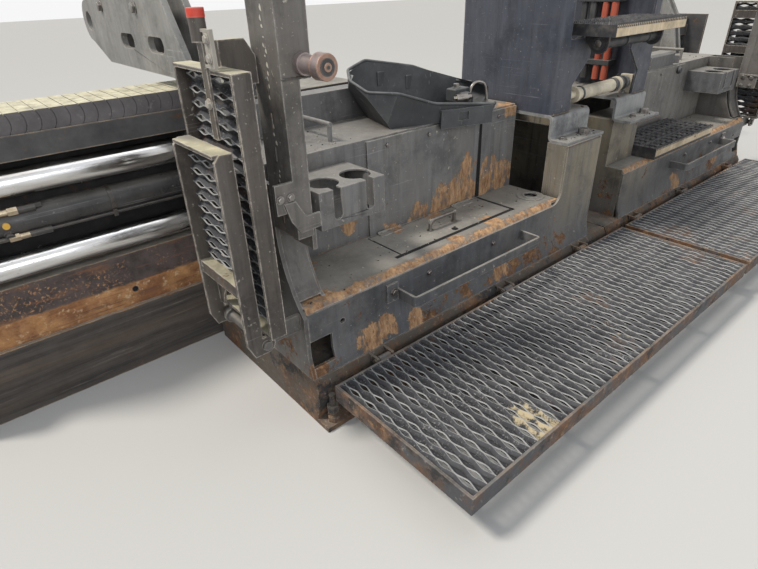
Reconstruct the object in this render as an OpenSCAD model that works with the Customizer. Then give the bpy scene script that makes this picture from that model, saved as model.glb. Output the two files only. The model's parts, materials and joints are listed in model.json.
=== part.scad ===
// Extendable screed of an asphalt paver, seen from the rear walkway side.
// X runs along the paving width, +Y is the paving direction, Z=0 is the mat.
// Places are measured from the rear edge of the sole. At the end every piece is
// shifted by base_shift, so that the origin is the middle of the base.

/* [Main screed] */
// Half of the basic paving width
half_w = 1524; // [1400:4:1640]
// Depth of the sole from its rear edge to its front edge
sole_d = 650; // [620:2:670]
// Thickness of the sole plate behind the heater body
sole_t = 16; // [10:1:22]
// Height of the closed heater body that stands on the sole
body_z = 157; // [150:1:170]
// Gap between the two halves at the crown
crown_gap = 8; // [4:1:16]
// Distance of the rusty rear rail from the sole's rear edge
rail_y = 35; // [32:1:42]
// Distance of the rear skirt from the sole's rear edge
skirt_y = 68; // [60:1:76]
// Height of the shelf
shelf_z = 375; // [350:1:400]
// Distance of the upper wall from the sole's rear edge
wall_y = 313; // [300:1:330]
// Height of the deck
deck_z = 694; // [685:1:720]
// Thickness of the bent plates
plate_t = 10; // [6:1:12]
// Outer radius of the shelf's bent rear edge
bend_r = 28; // [22:1:36]
// Height of the shelf above the skirt's upper edge
lip_h = 18; // [14:1:20]
// Distance from the centre to the inner end of shelf and upper wall
shelf_in = 364; // [360:1:380]

/* [Lid] */
// Distance from the centre to the lid's inner end
lid_in = 576; // [520:2:620]
// Length of the lid along X
lid_len = 538; // [460:2:560]
// Distance of the lid's rear edge from the sole's rear edge
lid_rear = 138; // [120:1:160]
// Depth of the lid from rear to front
lid_d = 159; // [130:1:159]
// Gap around the lid
lid_gap = 6; // [5:0.5:8]

/* [Grab bar] */
// Distance from the centre to the bar's inner return
bar_in = 599; // [560:1:640]
// Length of the bar's run along X
bar_len = 593; // [500:1:620]
// How far the bar stands off the skirt
bar_off = 83; // [60:1:83]
// Height of the bar's lower edge
bar_z = 285; // [280:1:300]
// Height of the flat bar
bar_h = 34; // [25:1:40]
// Thickness of the flat bar
bar_t = 8; // [6:1:10]
// Inner radius of the bar's bends
bar_bend = 6; // [4:1:12]
// Width of the tab that bolts the bar to the skirt
tab_w = 42; // [30:1:50]
// Height of the tab
tab_h = 60; // [50:1:70]

/* [Centre] */
// Distance from the centre to the centre block's outer side
block_out = 356; // [350:1:358]
// Distance from the centre to the centre block's inner side
block_in = 128; // [116:1:136]
// Height of the centre block
block_z = 574; // [550:1:590]
// Height of the stepped bracket's upper flange
bracket_z = 668; // [655:1:674]
// Distance from the centre to the stepped bracket's inner end
bracket_in = 105; // [90:1:116]
// Distance of the stepped bracket's leg from the sole's rear edge
bracket_y = 148; // [140:1:150]
// Radius of the skirt's rise into the centre block
rise_r = 49; // [30:1:60]
// Distance of the tower's rear face from the sole's rear edge
tower_y = 155; // [150:1:160]
// Depth of the tower along Y
tower_d = 450; // [420:1:470]
// Width of the tower's channel along X
tower_w = 60; // [44:1:70]
// Height of the tower's top
tower_z = 1250; // [1150:5:1350]
// Outer radius of the bends of tower and bracket
fold_r = 20; // [14:1:24]
// Height of the gusset under the centre step
gusset_z = 918; // [900:1:925]
// Depth of the centre step
step_d = 200; // [160:2:220]
// Half of the centre step's width
step_half = 263; // [240:1:270]
// Height of the centre step's tread
step_z = 965; // [940:1:1000]
// Radius of the crown turnbuckle's sleeve
buckle_r = 25; // [18:1:30]
// Length of the step on the right shelf
shelf_step_len = 623; // [500:1:640]
// Height of the step above the right shelf
shelf_step_h = 50; // [40:1:60]

/* [Left end] */
// Thickness of the end plates
end_t = 12; // [8:1:16]
// Distance between the outer and the inner end plate
cheek_gap = 83; // [70:1:95]
// Width of the post along Y
post_d = 109; // [90:1:109]
// Width of the post along X
post_w = 44; // [36:1:50]
// Width of the sleeve on the post along X
sleeve_w = 74; // [66:1:80]
// Height of the sleeve's lower edge
sleeve_z = 940; // [900:2:960]
// Height of the post's pad
post_z = 1300; // [1200:5:1400]
// Radius of the lock knob's grip
knob_r = 23; // [16:1:26]
// Length of the lock knob
knob_len = 89; // [60:1:100]
// Radius of the end step's pin
pin_r = 12; // [9:0.5:14]
// Height of the end step's pin
pin_z = 331; // [320:1:340]
// How far the end step's pin stands off the end plate
pin_out = 114; // [108:1:120]
// Depth of the fixed rack
rack_d = 42; // [36:1:46]
// Height of the rack's top
rack_top = 965; // [930:1:1000]
// Height of the end step's top when folded
leaf_top = 814; // [780:1:818]
// Width of the end step along Y
leaf_w = 216; // [204:1:230]
// Depth of the end step's side plates
leaf_d = 42; // [36:1:50]
// Height of the angle across the end step's lower part
leaf_shelf_z = 505; // [440:1:560]
// Radius of the arch below that angle
leaf_arch_r = 76; // [50:1:84]
// Distance of the cup holder from the end of the basic width
cup_out = 124; // [116:1:140]
// Width of the cup holder
cup_w = 220; // [200:1:240]
// Radius of the holes for the cups
cup_r = 44; // [38:1:46]
// Height of the cup holder's top
cup_z = 645; // [620:1:660]
// Depth of the cup holder's side walls
cup_h = 105; // [90:1:120]

/* [Walkway] */
// Depth of the walkways along Y
walk_d = 490; // [420:2:540]
// Height of the walkway's deck
walk_z = 156; // [154:1:160]
// Height of the walkway's edge bars
walk_h = 52; // [40:1:60]
// Distance of the walkways' outer ends from the basic width
walk_end = 32; // [28:1:60]
// Gap between the two walkways
walk_gap = 30; // [12:1:40]
// Place of the gap between the walkways along X
walk_mid = 75; // [-20:1:90]
// Radius of the hinge knuckles
knuckle_r = 10; // [9:0.5:11]

// Openings along X in each walkway's deck
deck_columns = 12; // [8:4:12]
// Openings along Y in each walkway's deck
deck_rows = 4; // [3:1:5]
// Metal between two openings of the walkway's deck
deck_web = 14; // [10:1:20]

/* [Extenders] */
// How far each extender is run out as it stands
ext_out = 762; // [700:2:780]
// Length of each extender along X
ext_len = 1500; // [1460:2:1504]
// Gap between main screed and extender
ext_gap = 28; // [12:1:40]
// Depth of each extender along Y
ext_d = 417; // [380:1:440]
// Height of the extender's ledge
ext_z = 392; // [370:1:392]
// Radius of the capped guide tubes
tube_r = 38; // [30:0.5:38]
// Length of the guide tubes
tube_len = 2006; // [1980:2:2010]
// Height of the lower guide tube's axis
tube_low = 440; // [437:1:444]
// Height of the upper guide tube's axis
tube_high = 668; // [664:1:672]
// Height of the extension cylinder's axis
ram_z = 565; // [558:1:568]
// Outer radius of the cylinder's barrel
ram_r = 40; // [34:0.5:40]
// Radius of the cylinder's rod
rod_r = 25; // [18:0.5:28]
// Distance of the left tubes from the front wall
tube_off_left = 85; // [80:1:88]
// Distance of the right tubes from the front wall
tube_off_right = 185; // [180:1:190]
// Thickness of the end plate that carries the tubes
ext_plate = 20; // [14:1:24]
// Height of the end plate
ext_plate_z = 860; // [850:1:862]
// Height of the hose chain
chain_h = 53; // [44:1:53]
// Width of the hose chain along Y
chain_w = 190; // [150:2:196]
// Length of one link of the hose chain
link_len = 35; // [30:1:44]

/* [End gates] */
// Height of the end gate
gate_h = 360; // [320:1:380]
// Thickness of the end gate
gate_t = 16; // [10:1:20]
// Length of the end gate along Y
gate_l = 520; // [460:2:560]
// Radius of the gate's guide rods
guide_r = 14; // [10:0.5:16]

/* [Tow brackets] */
// How far the tow brackets reach in front of the main screed
tow_reach = 850; // [760:5:950]
// Thickness of each tow plate
tow_t = 20; // [14:1:24]
// Gap between a bracket's two plates
tow_gap = 40; // [30:1:50]
// Radius of the bore for the tow pin
tow_bore_r = 32; // [24:1:36]
// Height of the tow pin's axis
tow_pin_z = 1010; // [980:2:1040]
// Radius of the plates' round nose
tow_nose_r = 70; // [60:1:76]

/* [Tray] */
// Length of the loose tray along X
tray_len = 340; // [300:2:380]
// Depth of the tray along Y
tray_d = 250; // [220:2:256]
// Height of the tray's left end
tray_h = 186; // [160:1:200]
// Wall of the tray
tray_wall = 6; // [5:0.5:8]
// Height of the beam along the deck's front edge
beam_h = 103; // [90:1:110]

/* [Hidden] */
$fn = 48;

paint = "#3a3d42";
paint_light = "#6c6f72";
dark = "#232528";
rust = "#8a5632";
chrome = "#c9ccd0";
steel = "#a7a29a";
cream = "#d8cfb4";
copper = "#8d6552";
rubber = "#26272a";

// Outer face of the left end of the main screed
end_x = -half_w;
front_y = sole_d;
tow_front = front_y + tow_reach;
// The walkways hang on pins just behind the rail
hinge_y = 14;
hinge_z = walk_z - knuckle_r;
walk_front = hinge_y - knuckle_r - 6;
walk_rear = walk_front - walk_d;
hinge_x = [1300, 716, 230];
lug_t = 8;
// The base's middle along Y
base_shift = -(walk_rear + tow_front) / 2;
tube_y_left = front_y + tube_off_left;
tube_y_right = front_y + tube_off_right;
run_fit = 1;
ext_end = end_x - ext_out;
ext_rear = front_y + ext_gap;
ext_front = ext_rear + ext_d;
barrel_len = ext_len - 30;
lid_hinge_y = lid_rear + lid_d + 2;
lid_hinge_z = shelf_z + 5;
pin_x = end_x - pin_out;
leaf_in = pin_x - 8;
rack_out = pin_x;
rack_foot = pin_z + 29;
leaf_y = 63;
post_y = 47;
// The skirt ends under the shelf's bent edge
lip_z = shelf_z - lip_h;
lid_out = lid_in + lid_len;
cup_x = end_x + cup_out;
sweep_z = 584;
gate_x = ext_end - 44;
tow_x = end_x + 24;
// The tow plates pass over the hose chains
tow_low = tube_high + 159 + chain_h;
tray_x = -lid_out + 218;
tray_turn = 17;
gusset_foot = 235;
gusset_waist = 248;
gusset_edge = 153;
waist_z = bracket_z + 92;
flare_z = waist_z + 90;
beam_out = 240;
beam_in = 309;
walk_bar = 8;
deck_t = 8;
// Far side of the hose chain and its tray, from the tubes' axis
chain_far = chain_w - 26;
rack_bar = 10;
strap_y = 134;

module along_x(x0, x1) {
  translate([x0, 0, 0]) rotate([90, 0, 90]) linear_extrude(x1 - x0) children();
}

module along_y(y0, y1) {
  translate([0, y1, 0]) rotate([90, 0, 0]) linear_extrude(y1 - y0) children();
}

module box(low, high) {
  translate(low) cube(high - low);
}

module rod_x(x0, x1, y, z, r) {
  translate([x0, y, z]) rotate([0, 90, 0]) cylinder(h = x1 - x0, r = r);
}

module rod_y(x, y0, y1, z, r) {
  translate([x, y1, z]) rotate([90, 0, 0]) cylinder(h = y1 - y0, r = r);
}

module left_side() {
  translate([0, base_shift, 0]) children();
}

module right_side() {
  translate([0, base_shift, 0]) mirror([1, 0, 0]) children();
}

function arc(cx, cy, r, a0, a1, n) =
  [for (i = [0 : n]) let (a = a0 + (a1 - a0) * i / n) [cx + r * cos(a), cy + r * sin(a)]];

// Flat deck cut into a grid of eye-shaped openings, as expanded metal has them
module open_deck(size, columns, rows, web) {
  a = (size[0] / columns - web) / 2;
  b = (size[1] / rows - web) / 2;
  difference() {
    square(size);
    for (i = [0 : columns - 1], j = [0 : rows - 1])
      translate([(i + 0.5) * size[0] / columns, (j + 0.5) * size[1] / rows])
        polygon([[-a, 0], [-0.4 * a, -b], [0.4 * a, -b], [a, 0], [0.4 * a, b], [-0.4 * a, b]]);
  }
}

// Sole plate, heater body and rail in one profile, with the lugs of the walkway hinges
module sole_half() {
  color(rust) along_x(end_x, -crown_gap / 2) polygon([
    [0, 0], [0, sole_t], [rail_y + 17, sole_t], [rail_y + 5, sole_t + 48], [rail_y, sole_t + 64],
    [rail_y, body_z - 22], [rail_y + 13, body_z], [sole_d, body_z], [sole_d, 0]]);
  color(rust) for (x = hinge_x) walk_lugs(-x);
  levelling_stud();
}

module walk_lugs(x) {
  for (side = [-32, 24]) {
    rod_x(x + side, x + side + lug_t, hinge_y, hinge_z, knuckle_r);
    box([x + side, hinge_y, hinge_z - knuckle_r], [x + side + lug_t, rail_y + 13, hinge_z + knuckle_r]);
  }
  rod_x(x - 36, x + 36, hinge_y, hinge_z, 6);
}

module levelling_stud() {
  color(rust) translate([end_x + 34, 20, sole_t]) {
    cylinder(h = 95, r = 9);
    cylinder(h = 18, r = 18, $fn = 6);
    translate([0, 0, 34]) cylinder(h = 22, r = 18, $fn = 6);
  }
}

// Rear skirt: a bent plate that rises into the centre block, with the flat grab bar
module skirt_half(rises) {
  outer = end_x + end_t;
  rise = [[-block_in, block_z], [-block_out, block_z]];
  fillet = arc(-block_out - rise_r, lip_z + rise_r, rise_r, 0, -90, 8);
  color(paint) difference() {
    intersection() {
      along_x(outer, -block_in) polygon([
        [skirt_y, block_z], [skirt_y, body_z + 70], [skirt_y - 16, body_z],
        [skirt_y - 16 + plate_t, body_z], [skirt_y + plate_t, body_z + 68],
        [skirt_y + plate_t, block_z]]);
      along_y(0, skirt_y + plate_t) polygon(concat(
        [[outer, body_z], [-block_in, body_z]],
        rises ? concat(rise, fillet) : [[-block_in, lip_z]], [[outer, lip_z]]));
    }
    box([outer - 1, 0, 187], [outer + 72, skirt_y + plate_t + 1, 271]);
    rod_y(end_x + 123, 0, skirt_y + plate_t + 1, 294, 8);
  }
}

// Flat bar bent into a handrail, with a tab that bolts it to the skirt
module grab_bar_half() {
  far = -bar_in - bar_len;
  back = skirt_y - bar_off;
  color(rust) translate([0, 0, bar_z]) linear_extrude(bar_h) difference() {
    bar_loop(far, back, bar_bend + bar_t);
    bar_loop(far, back, bar_bend);
    translate([far - 100, skirt_y]) square([bar_len + 200, 200]);
  }
  color(rust) box([far - bar_t - tab_w, skirt_y - bar_t, bar_z - 2],
                  [far - bar_t + 1, skirt_y, bar_z - 2 + tab_h]);
}

module bar_loop(far, back, r) {
  translate([far + bar_bend, back + bar_t + bar_bend])
    offset(r) square([bar_len - 2 * bar_bend, bar_off]);
}

// Shelf plate with its bent rear edge; the left one has the lid's opening and bin
module shelf_half(with_lid) {
  outer = end_x + end_t;
  bend_end = with_lid ? -block_out - rise_r : -block_in - plate_t;
  low = shelf_z - plate_t;
  open_x = -lid_out - lid_gap;
  rise = bend_r - lip_h;
  inner_r = bend_r - plate_t;
  centre = [skirt_y + 2 + bend_r, shelf_z - bend_r];
  color(paint_light) difference() {
    union() {
      along_x(outer, bend_end) polygon(concat(
        [[wall_y, low], [wall_y, shelf_z]],
        arc(centre[0], centre[1], bend_r, 90, 180 - asin(rise / bend_r), 6),
        arc(centre[0], centre[1], inner_r, 180 - asin(rise / inner_r), 90, 6)));
      if (with_lid) box([bend_end, skirt_y + plate_t, low], [-shelf_in, wall_y, shelf_z]);
    }
    if (with_lid)
      box([open_x, lid_rear - lid_gap, low - 1],
          [-lid_in + lid_gap, lid_rear + lid_d + lid_gap, shelf_z + 1]);
    translate([-413, 166, shelf_z - 6]) cylinder(h = 7, r = 24);
  }
  color(paint_light) translate([-413, 166, shelf_z]) difference() {
    cylinder(h = 4, r = 33);
    translate([0, 0, -1]) cylinder(h = 6, r = 24);
  }
  if (with_lid) color(paint) {
    for (x = [open_x - 10, -lid_in + lid_gap - 20])
      box([x, lid_rear - 12, low - 8], [x + 30, wall_y - 4, low]);
    lid_bin(open_x - 10, -lid_in + lid_gap + 10, low);
  }
}

// Storage bin under the lid
module lid_bin(x0, x1, top) {
  wall = 5;
  floor_z = body_z + 60;
  y0 = lid_rear - 18;
  difference() {
    box([x0 - wall, y0, floor_z], [x1 + wall, wall_y, top]);
    box([x0, y0 + wall, floor_z + wall], [x1, wall_y - wall, top + 1]);
  }
}

module lid_part() {
  low = shelf_z - plate_t;
  color(paint_light) difference() {
    box([-lid_out, lid_rear, low], [-lid_in, lid_rear + lid_d, shelf_z]);
    translate([-lid_in - 276, lid_rear + 18, low - 1]) cylinder(h = plate_t + 2, r = 9);
  }
  color(paint_light) for (x = [-lid_out + 40, -lid_in - 140]) {
    rod_x(x, x + 100, lid_hinge_y, lid_hinge_z, 4);
    box([x, lid_hinge_y - 24, shelf_z], [x + 100, lid_hinge_y, shelf_z + 3]);
  }
  color(steel) {
    for (x = [-lid_in - 346, -lid_in - 229])
      translate([x, lid_rear + 66, shelf_z]) cylinder(h = 35, r = 5);
    rod_x(-lid_in - 351, -lid_in - 224, lid_rear + 66, shelf_z + 35, 5);
  }
}

// Upper wall with its doubler panels, deck plate, inner end plate and deck handle
module upper_half() {
  outer = end_x + end_t;
  deck_low = deck_z - plate_t;
  color(paint) {
    box([outer, wall_y, shelf_z - plate_t], [-shelf_in, wall_y + plate_t, deck_z]);
    box([outer, wall_y + plate_t, deck_low], [-shelf_in, sole_d - plate_t, deck_z]);
    box([-shelf_in - plate_t, wall_y + plate_t, shelf_z], [-shelf_in, sole_d - plate_t, deck_low]);
    box([-lid_out + 13, wall_y - 8, shelf_z], [-lid_in + 2, wall_y, deck_z - 6]);
    box([-lid_in + 14, wall_y - 8, shelf_z], [-shelf_in, wall_y, deck_z - 6]);
  }
  color(dark) box([-lid_out - beam_out, sole_d - 80, deck_z],
    [-lid_out + beam_in, sole_d - plate_t, deck_z + beam_h]);
  color(dark) {
    for (y = [wall_y + 59, wall_y + 247]) translate([-lid_out - 74, y, deck_z]) cylinder(h = 52, r = 7);
    rod_y(-lid_out - 74, wall_y + 52, wall_y + 254, deck_z + 52, 7);
  }
}

// Front wall and the forked plates that carry the guide tubes
module front_half(tube_y) {
  color(dark) box([end_x + end_t, sole_d - plate_t, body_z], [-crown_gap / 2, sole_d, deck_z]);
  color(paint) for (x = [end_x + 34, end_x + 594]) tube_carrier(x, tube_y);
}

module tube_carrier(x, tube_y) {
  reach = tube_y + tube_r + 16;
  fork_low = ram_z - 75;
  fork_high = ram_z + 55;
  carrier_low = ext_z + 6;
  carrier_high = tube_high + 52;
  difference() {
    box([x, sole_d, carrier_low], [x + 25, reach, carrier_high]);
    box([x - 1, sole_d + 26, fork_low], [x + 26, reach + 1, fork_high]);
    for (z = [tube_low, tube_high]) rod_x(x - 1, x + 26, tube_y, z, tube_r + run_fit);
  }
}

// Outer end plate, inner cheek and the curved guard between them, with the step's lugs
module end_frame_half() {
  sweep_r = 357;
  sweep_y = post_y + post_d - sweep_r;
  outer_edge = arc(sweep_y, sweep_z, sweep_r, 0, -34.3, 10);
  cheek_edge = [for (p = outer_edge) [p[0] + 24, p[1]]];
  cheek_x = end_x + end_t + cheek_gap - end_t;
  color(paint) {
    along_x(end_x, end_x + end_t) polygon(concat(
      [[sole_d, body_z], [sole_d, deck_z], [post_y + post_d, deck_z]], outer_edge,
      [[skirt_y, shelf_z - 26], [skirt_y, body_z + 70], [skirt_y - 16, body_z]]));
    along_x(cheek_x, cheek_x + end_t) polygon(concat(
      [[wall_y, shelf_z], [wall_y, deck_z], [180, deck_z]], cheek_edge,
      [[100, shelf_z]]));
    along_x(end_x + end_t, cheek_x) polygon(concat(
      [for (p = outer_edge) [p[0] + 10, p[1]]],
      [for (i = [10 : -1 : 0]) [outer_edge[i][0] + 18, outer_edge[i][1]]]));
    step_lugs();
  }
}

module step_lugs() {
  for (y = [85, 245]) {
    box([pin_x - 2, y, pin_z - 20], [end_x, y + 12, rack_foot]);
    rod_y(pin_x, y, y + 12, pin_z, 20);
  }
  rod_y(pin_x, leaf_y - 8, leaf_y + leaf_w + 8, pin_z, pin_r);
}

// Post: a tube with a wider sleeve on top and a pad for a control box
module post_half() {
  wall = 6;
  foot = sweep_z + 2;
  arm_x = end_x + 64;
  color(paint) difference() {
    union() {
      box([end_x, post_y, foot], [end_x + post_w, post_y + post_d, post_z]);
      box([end_x, post_y, sleeve_z], [end_x + sleeve_w, post_y + post_d, post_z]);
      box([end_x - 10, post_y - 16, post_z], [end_x + sleeve_w + 10, post_y + post_d + 16, post_z + 12]);
      box([end_x - 47, post_y, foot + 72], [end_x, post_y + 8, foot + 142]);
      along_y(post_y - 6, post_y) polygon([
        [end_x - 30, foot + 98], [end_x, foot + 98], [end_x + 24, foot + 56], [arm_x - 2, foot + 56],
        [arm_x, foot + 28], [arm_x - 8, foot + 20], [end_x + 6, foot + 18], [end_x - 16, foot + 52]]);
      box([end_x + post_w + 12, post_y - 6, foot + 20], [arm_x, post_y + 60, foot + 26]);
      box([end_x + post_w, post_y + 10, foot - 43], [end_x + post_w + 12, post_y + post_d - 8, foot + 24]);
    }
    box([end_x + wall, post_y + wall, foot - 1], [end_x + post_w - wall, post_y + post_d - wall, post_z]);
    for (x = [12, sleeve_w - 12], y = [-4, post_d + 4])
      translate([end_x + x, post_y + y, post_z - 1]) cylinder(h = 14, r = 5.5);
  }
}

module knob_half() {
  x = end_x + 52;
  z = sleeve_z + 26;
  color(steel) rod_y(x, post_y - 16, post_y, z, knob_r - 1);
  color(copper) rod_y(x, post_y - knob_len + 24, post_y - 16, z, knob_r - 4);
  color(copper) rod_y(x, post_y - knob_len, post_y - knob_len + 24, z, knob_r + 3);
}

// Rack: the inner leaf of the folded end steps, latched upright by a strap
module rack_half() {
  inner = rack_out + rack_d;
  color(paint) {
    for (y = [31, 302]) box([rack_out, y, rack_foot], [inner, y + 8, rack_top]);
    box([rack_out, 39, rack_top - 8], [inner, 302, rack_top]);
    box([rack_out, 39, rack_foot], [inner, 302, rack_foot + 8]);
    for (z = [rack_top - 445, rack_top - 265, rack_top - 85])
      box([inner - rack_bar, 39, z], [inner, 302, z + 40]);
    along_y(post_y + post_d - 16, post_y + post_d) polygon([
      [inner - 8, rack_top], [inner - 8, rack_top + 50], [end_x - 22, rack_top + 50],
      [end_x, rack_top + 16], [end_x, rack_top - 40], [inner, rack_top - 40], [inner, rack_top]]);
  }
  color(steel) box([rack_out - 6, strap_y - 12, leaf_top + 14], [rack_out, strap_y + 12, rack_top + 50]);
  color(dark) translate([rack_out - 3, strap_y, rack_top + 50]) cylinder(h = 58, r = 16);
}

module rack_deck() {
  face = rack_out + rack_d - rack_bar;
  color(paint) along_x(face - 6, face) translate([39, rack_foot + 8])
    open_deck([263, rack_top - rack_foot - 16], 4, 9, 12);
}

// End step: the leaf that swings down about the pin
module end_step_half() {
  out = leaf_in - leaf_d;
  y0 = leaf_y + 8;
  y1 = leaf_y + leaf_w - 8;
  color(paint) {
    for (y = [leaf_y, y1]) difference() {
      along_y(y, y + 8) {
        polygon([[out, 345], [leaf_in, 345], [leaf_in, leaf_top], [out + 14, leaf_top],
          [out, leaf_top - 14]]);
        polygon([[out, 346], [out + 16, pin_z - 24], [pin_x, pin_z - 24], [pin_x, pin_z + 24],
          [leaf_in, 346]]);
        translate([pin_x, pin_z]) circle(r = 24);
      }
      rod_y(pin_x, y - 1, y + 9, pin_z, pin_r + 0.3);
    }
    box([out, y0, leaf_top - 8], [leaf_in, y1, leaf_top]);
    difference() {
      box([leaf_in - 6, y0, pin_z + 40], [leaf_in, y1, leaf_shelf_z]);
      rod_x(leaf_in - 7, leaf_in + 1, (y0 + y1) / 2, pin_z + 40, leaf_arch_r);
    }
    box([out + 6, y0, leaf_shelf_z - 8], [leaf_in - 6, y1, leaf_shelf_z]);
    box([out + 6, y0, leaf_shelf_z - 32], [out + 12, y1, leaf_shelf_z - 8]);
    for (z = [leaf_shelf_z, leaf_shelf_z + 140, leaf_top - 38])
      box([leaf_in - 6, y0, z], [leaf_in, y1, z + 30]);
  }
}

module end_step_deck() {
  color(paint) along_x(leaf_in - 12, leaf_in - 6) translate([leaf_y + 8, leaf_shelf_z])
    open_deck([leaf_w - 16, leaf_top - 8 - leaf_shelf_z], 3, 5, 12);
}

// Centre block: box beside the crown. The left one reaches the skirt at full height,
// the right one steps down to the shelf behind its upper part.
module centre_block_half(full) {
  back = skirt_y + plate_t;
  upper = full ? back : 156;
  outer = -block_out;
  inner = -block_in;
  color(paint) {
    along_x(inner - plate_t, inner) polygon([
      [back, body_z], [back, full ? block_z : shelf_z], [upper, full ? block_z : shelf_z],
      [upper, block_z], [sole_d - plate_t, block_z], [sole_d - plate_t, body_z]]);
    if (full) box([outer, back, body_z], [outer + plate_t, 156, block_z]);
    if (!full) box([outer, upper, shelf_z], [outer + plate_t, wall_y - 10, block_z]);
    if (!full) box([outer + plate_t, upper, shelf_z], [inner - plate_t, upper + plate_t, block_z]);
    box([outer + plate_t, upper + plate_t, block_z - plate_t],
        [inner - plate_t, full ? tower_y : 300, block_z]);
    if (full) box([outer + plate_t, back, block_z - plate_t], [inner - plate_t, upper + plate_t, block_z]);
  }
}

// Stepped bracket on the block, and the channel-shaped tower that stands on it
module tower_half() {
  outer = -block_out;
  leg = bracket_y;
  front = sole_d - plate_t;
  inner_r = fold_r - plate_t;
  top = bracket_z;
  low = block_z;
  color(paint_light) along_x(outer, -bracket_in) polygon(concat([[skirt_y + 7, low]],
    arc(leg + plate_t - fold_r, low + fold_r, fold_r, -90, 0, 5),
    arc(leg + fold_r, top - fold_r, inner_r, 180, 90, 4), [[front, top - plate_t], [front, top]],
    arc(leg + fold_r, top - fold_r, fold_r, 90, 180, 5),
    arc(leg - inner_r, low + fold_r, inner_r, 0, -90, 4), [[skirt_y + 7, low + plate_t]]));
  color(paint) {
    translate([0, 0, bracket_z]) linear_extrude(tower_z - bracket_z) difference() {
      tower_loop(fold_r);
      tower_loop(inner_r);
      translate([outer + tower_w, tower_y - 1]) square([tower_w, tower_d + 2]);
    }
    along_y(tower_y, tower_y + plate_t) polygon([
      [outer + fold_r, bracket_z], [-gusset_foot, bracket_z], [-gusset_waist, waist_z],
      [-gusset_edge, flare_z], [-gusset_edge, gusset_z], [outer + fold_r, gusset_z]]);
    box([outer + plate_t, tower_y + plate_t, tower_z - plate_t],
        [outer + tower_w, tower_y + tower_d - plate_t, tower_z]);
  }
}

module tower_loop(r) {
  translate([-block_out + fold_r, tower_y + fold_r])
    offset(r) square([tower_w, tower_d - 2 * fold_r]);
}

// Crown turnbuckle on its two lugs
module turnbuckle_part() {
  y = tower_y + 40;
  z = bracket_z + 44;
  color(cream) rod_x(-150, 150, y, z, buckle_r);
  color(dark) for (x = [-166, 150]) rod_x(x, x + 16, y, z, buckle_r + 5);
  color(steel) for (x = [-240, 166]) rod_x(x, x + 74, y, z, 14);
  color(rust) for (x = [-262, 240])
    box([x, y - 25, bracket_z], [x + 22, y + 25, z + 30]);
}

// Step's tread: an upright rim round a plate with openings for grip
module tread(low, high) {
  rim = 6;
  size = [high[0] - low[0] - 2 * rim, high[1] - low[1] - 2 * rim];
  difference() {
    box(low, high);
    box([low[0] + rim, low[1] + rim, low[2] - 1], [high[0] - rim, high[1] - rim, high[2] + 1]);
  }
  translate([low[0] + rim, low[1] + rim, high[2] - rim]) linear_extrude(rim)
    open_deck(size, 11, 3, 16);
}

// Centre step: open tread on two plates and a cross tube, bolted to the towers' gussets
module centre_step_part() {
  low = step_z - 38;
  rear = tower_y - 140;
  tube_z = 900;
  color(steel) tread([-step_half, rear, low], [step_half, rear + step_d, step_z]);
  color(dark) {
    rod_x(-214, 240, rear + 85, tube_z, 20);
    for (x = [-205, 195]) along_x(x, x + 10) polygon(concat([[rear + 50, step_z - 6]],
      arc(rear + 85, tube_z, 35, 180, 330, 8), [[tower_y, tube_z + 6], [tower_y, step_z - 6]]));
  }
}

// Serrated step that stands on the right shelf
module shelf_step_part() {
  top = shelf_z + shelf_step_h;
  inner = block_out + 6;
  outer = inner + shelf_step_len;
  rear = skirt_y - 16;
  front = wall_y - 25;
  color(rust) tread([inner, rear, shelf_z], [outer, front, top]);
}

// Plate between the halves that carries the tubes' inner ends and the two rods
module centre_bearing_part() {
  tubes = [tube_y_left, tube_y_right];
  reach = tube_y_right + tube_r + 16;
  color(paint) difference() {
    box([-20, sole_d, ext_z + 6], [20, reach, tube_high + 52]);
    for (y = tubes, z = [tube_low, tube_high]) rod_x(-21, 21, y, z, tube_r + 3);
  }
}

// Walkway: flat bar frame with cross bars, hung on knuckles
module walkway_part(x0, x1, hinges) {
  low = walk_z - walk_h;
  color(rust) difference() {
    box([x0, walk_rear, low], [x1, walk_front, walk_z]);
    box([x0 + walk_bar, walk_rear + walk_bar, low - 1],
        [x1 - walk_bar, walk_front - walk_bar, walk_z + 1]);
  }
  bays = 4;
  pitch = (x1 - x0) / bays;
  color(rust) for (i = [1 : bays - 1])
    box([x0 + i * pitch - 3, walk_rear + walk_bar, low + 8],
        [x0 + i * pitch + 3, walk_front - walk_bar, walk_z - deck_t]);
  color(rust) for (x = hinges) difference() {
    union() {
      rod_x(x - 20, x + 20, hinge_y, hinge_z, knuckle_r);
      box([x - 20, walk_front, hinge_z - 5], [x + 20, hinge_y, hinge_z + 5]);
    }
    rod_x(x - 21, x + 21, hinge_y, hinge_z, 6.3);
  }
}

// The walkway's deck, which lies in the frame on its cross bars
module walkway_deck(x0, x1) {
  color(paint) translate([x0 + walk_bar, walk_rear + walk_bar, walk_z - deck_t]) linear_extrude(deck_t)
    open_deck([x1 - x0 - 2 * walk_bar, walk_d - 2 * walk_bar], deck_columns, deck_rows, deck_web);
}

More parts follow.
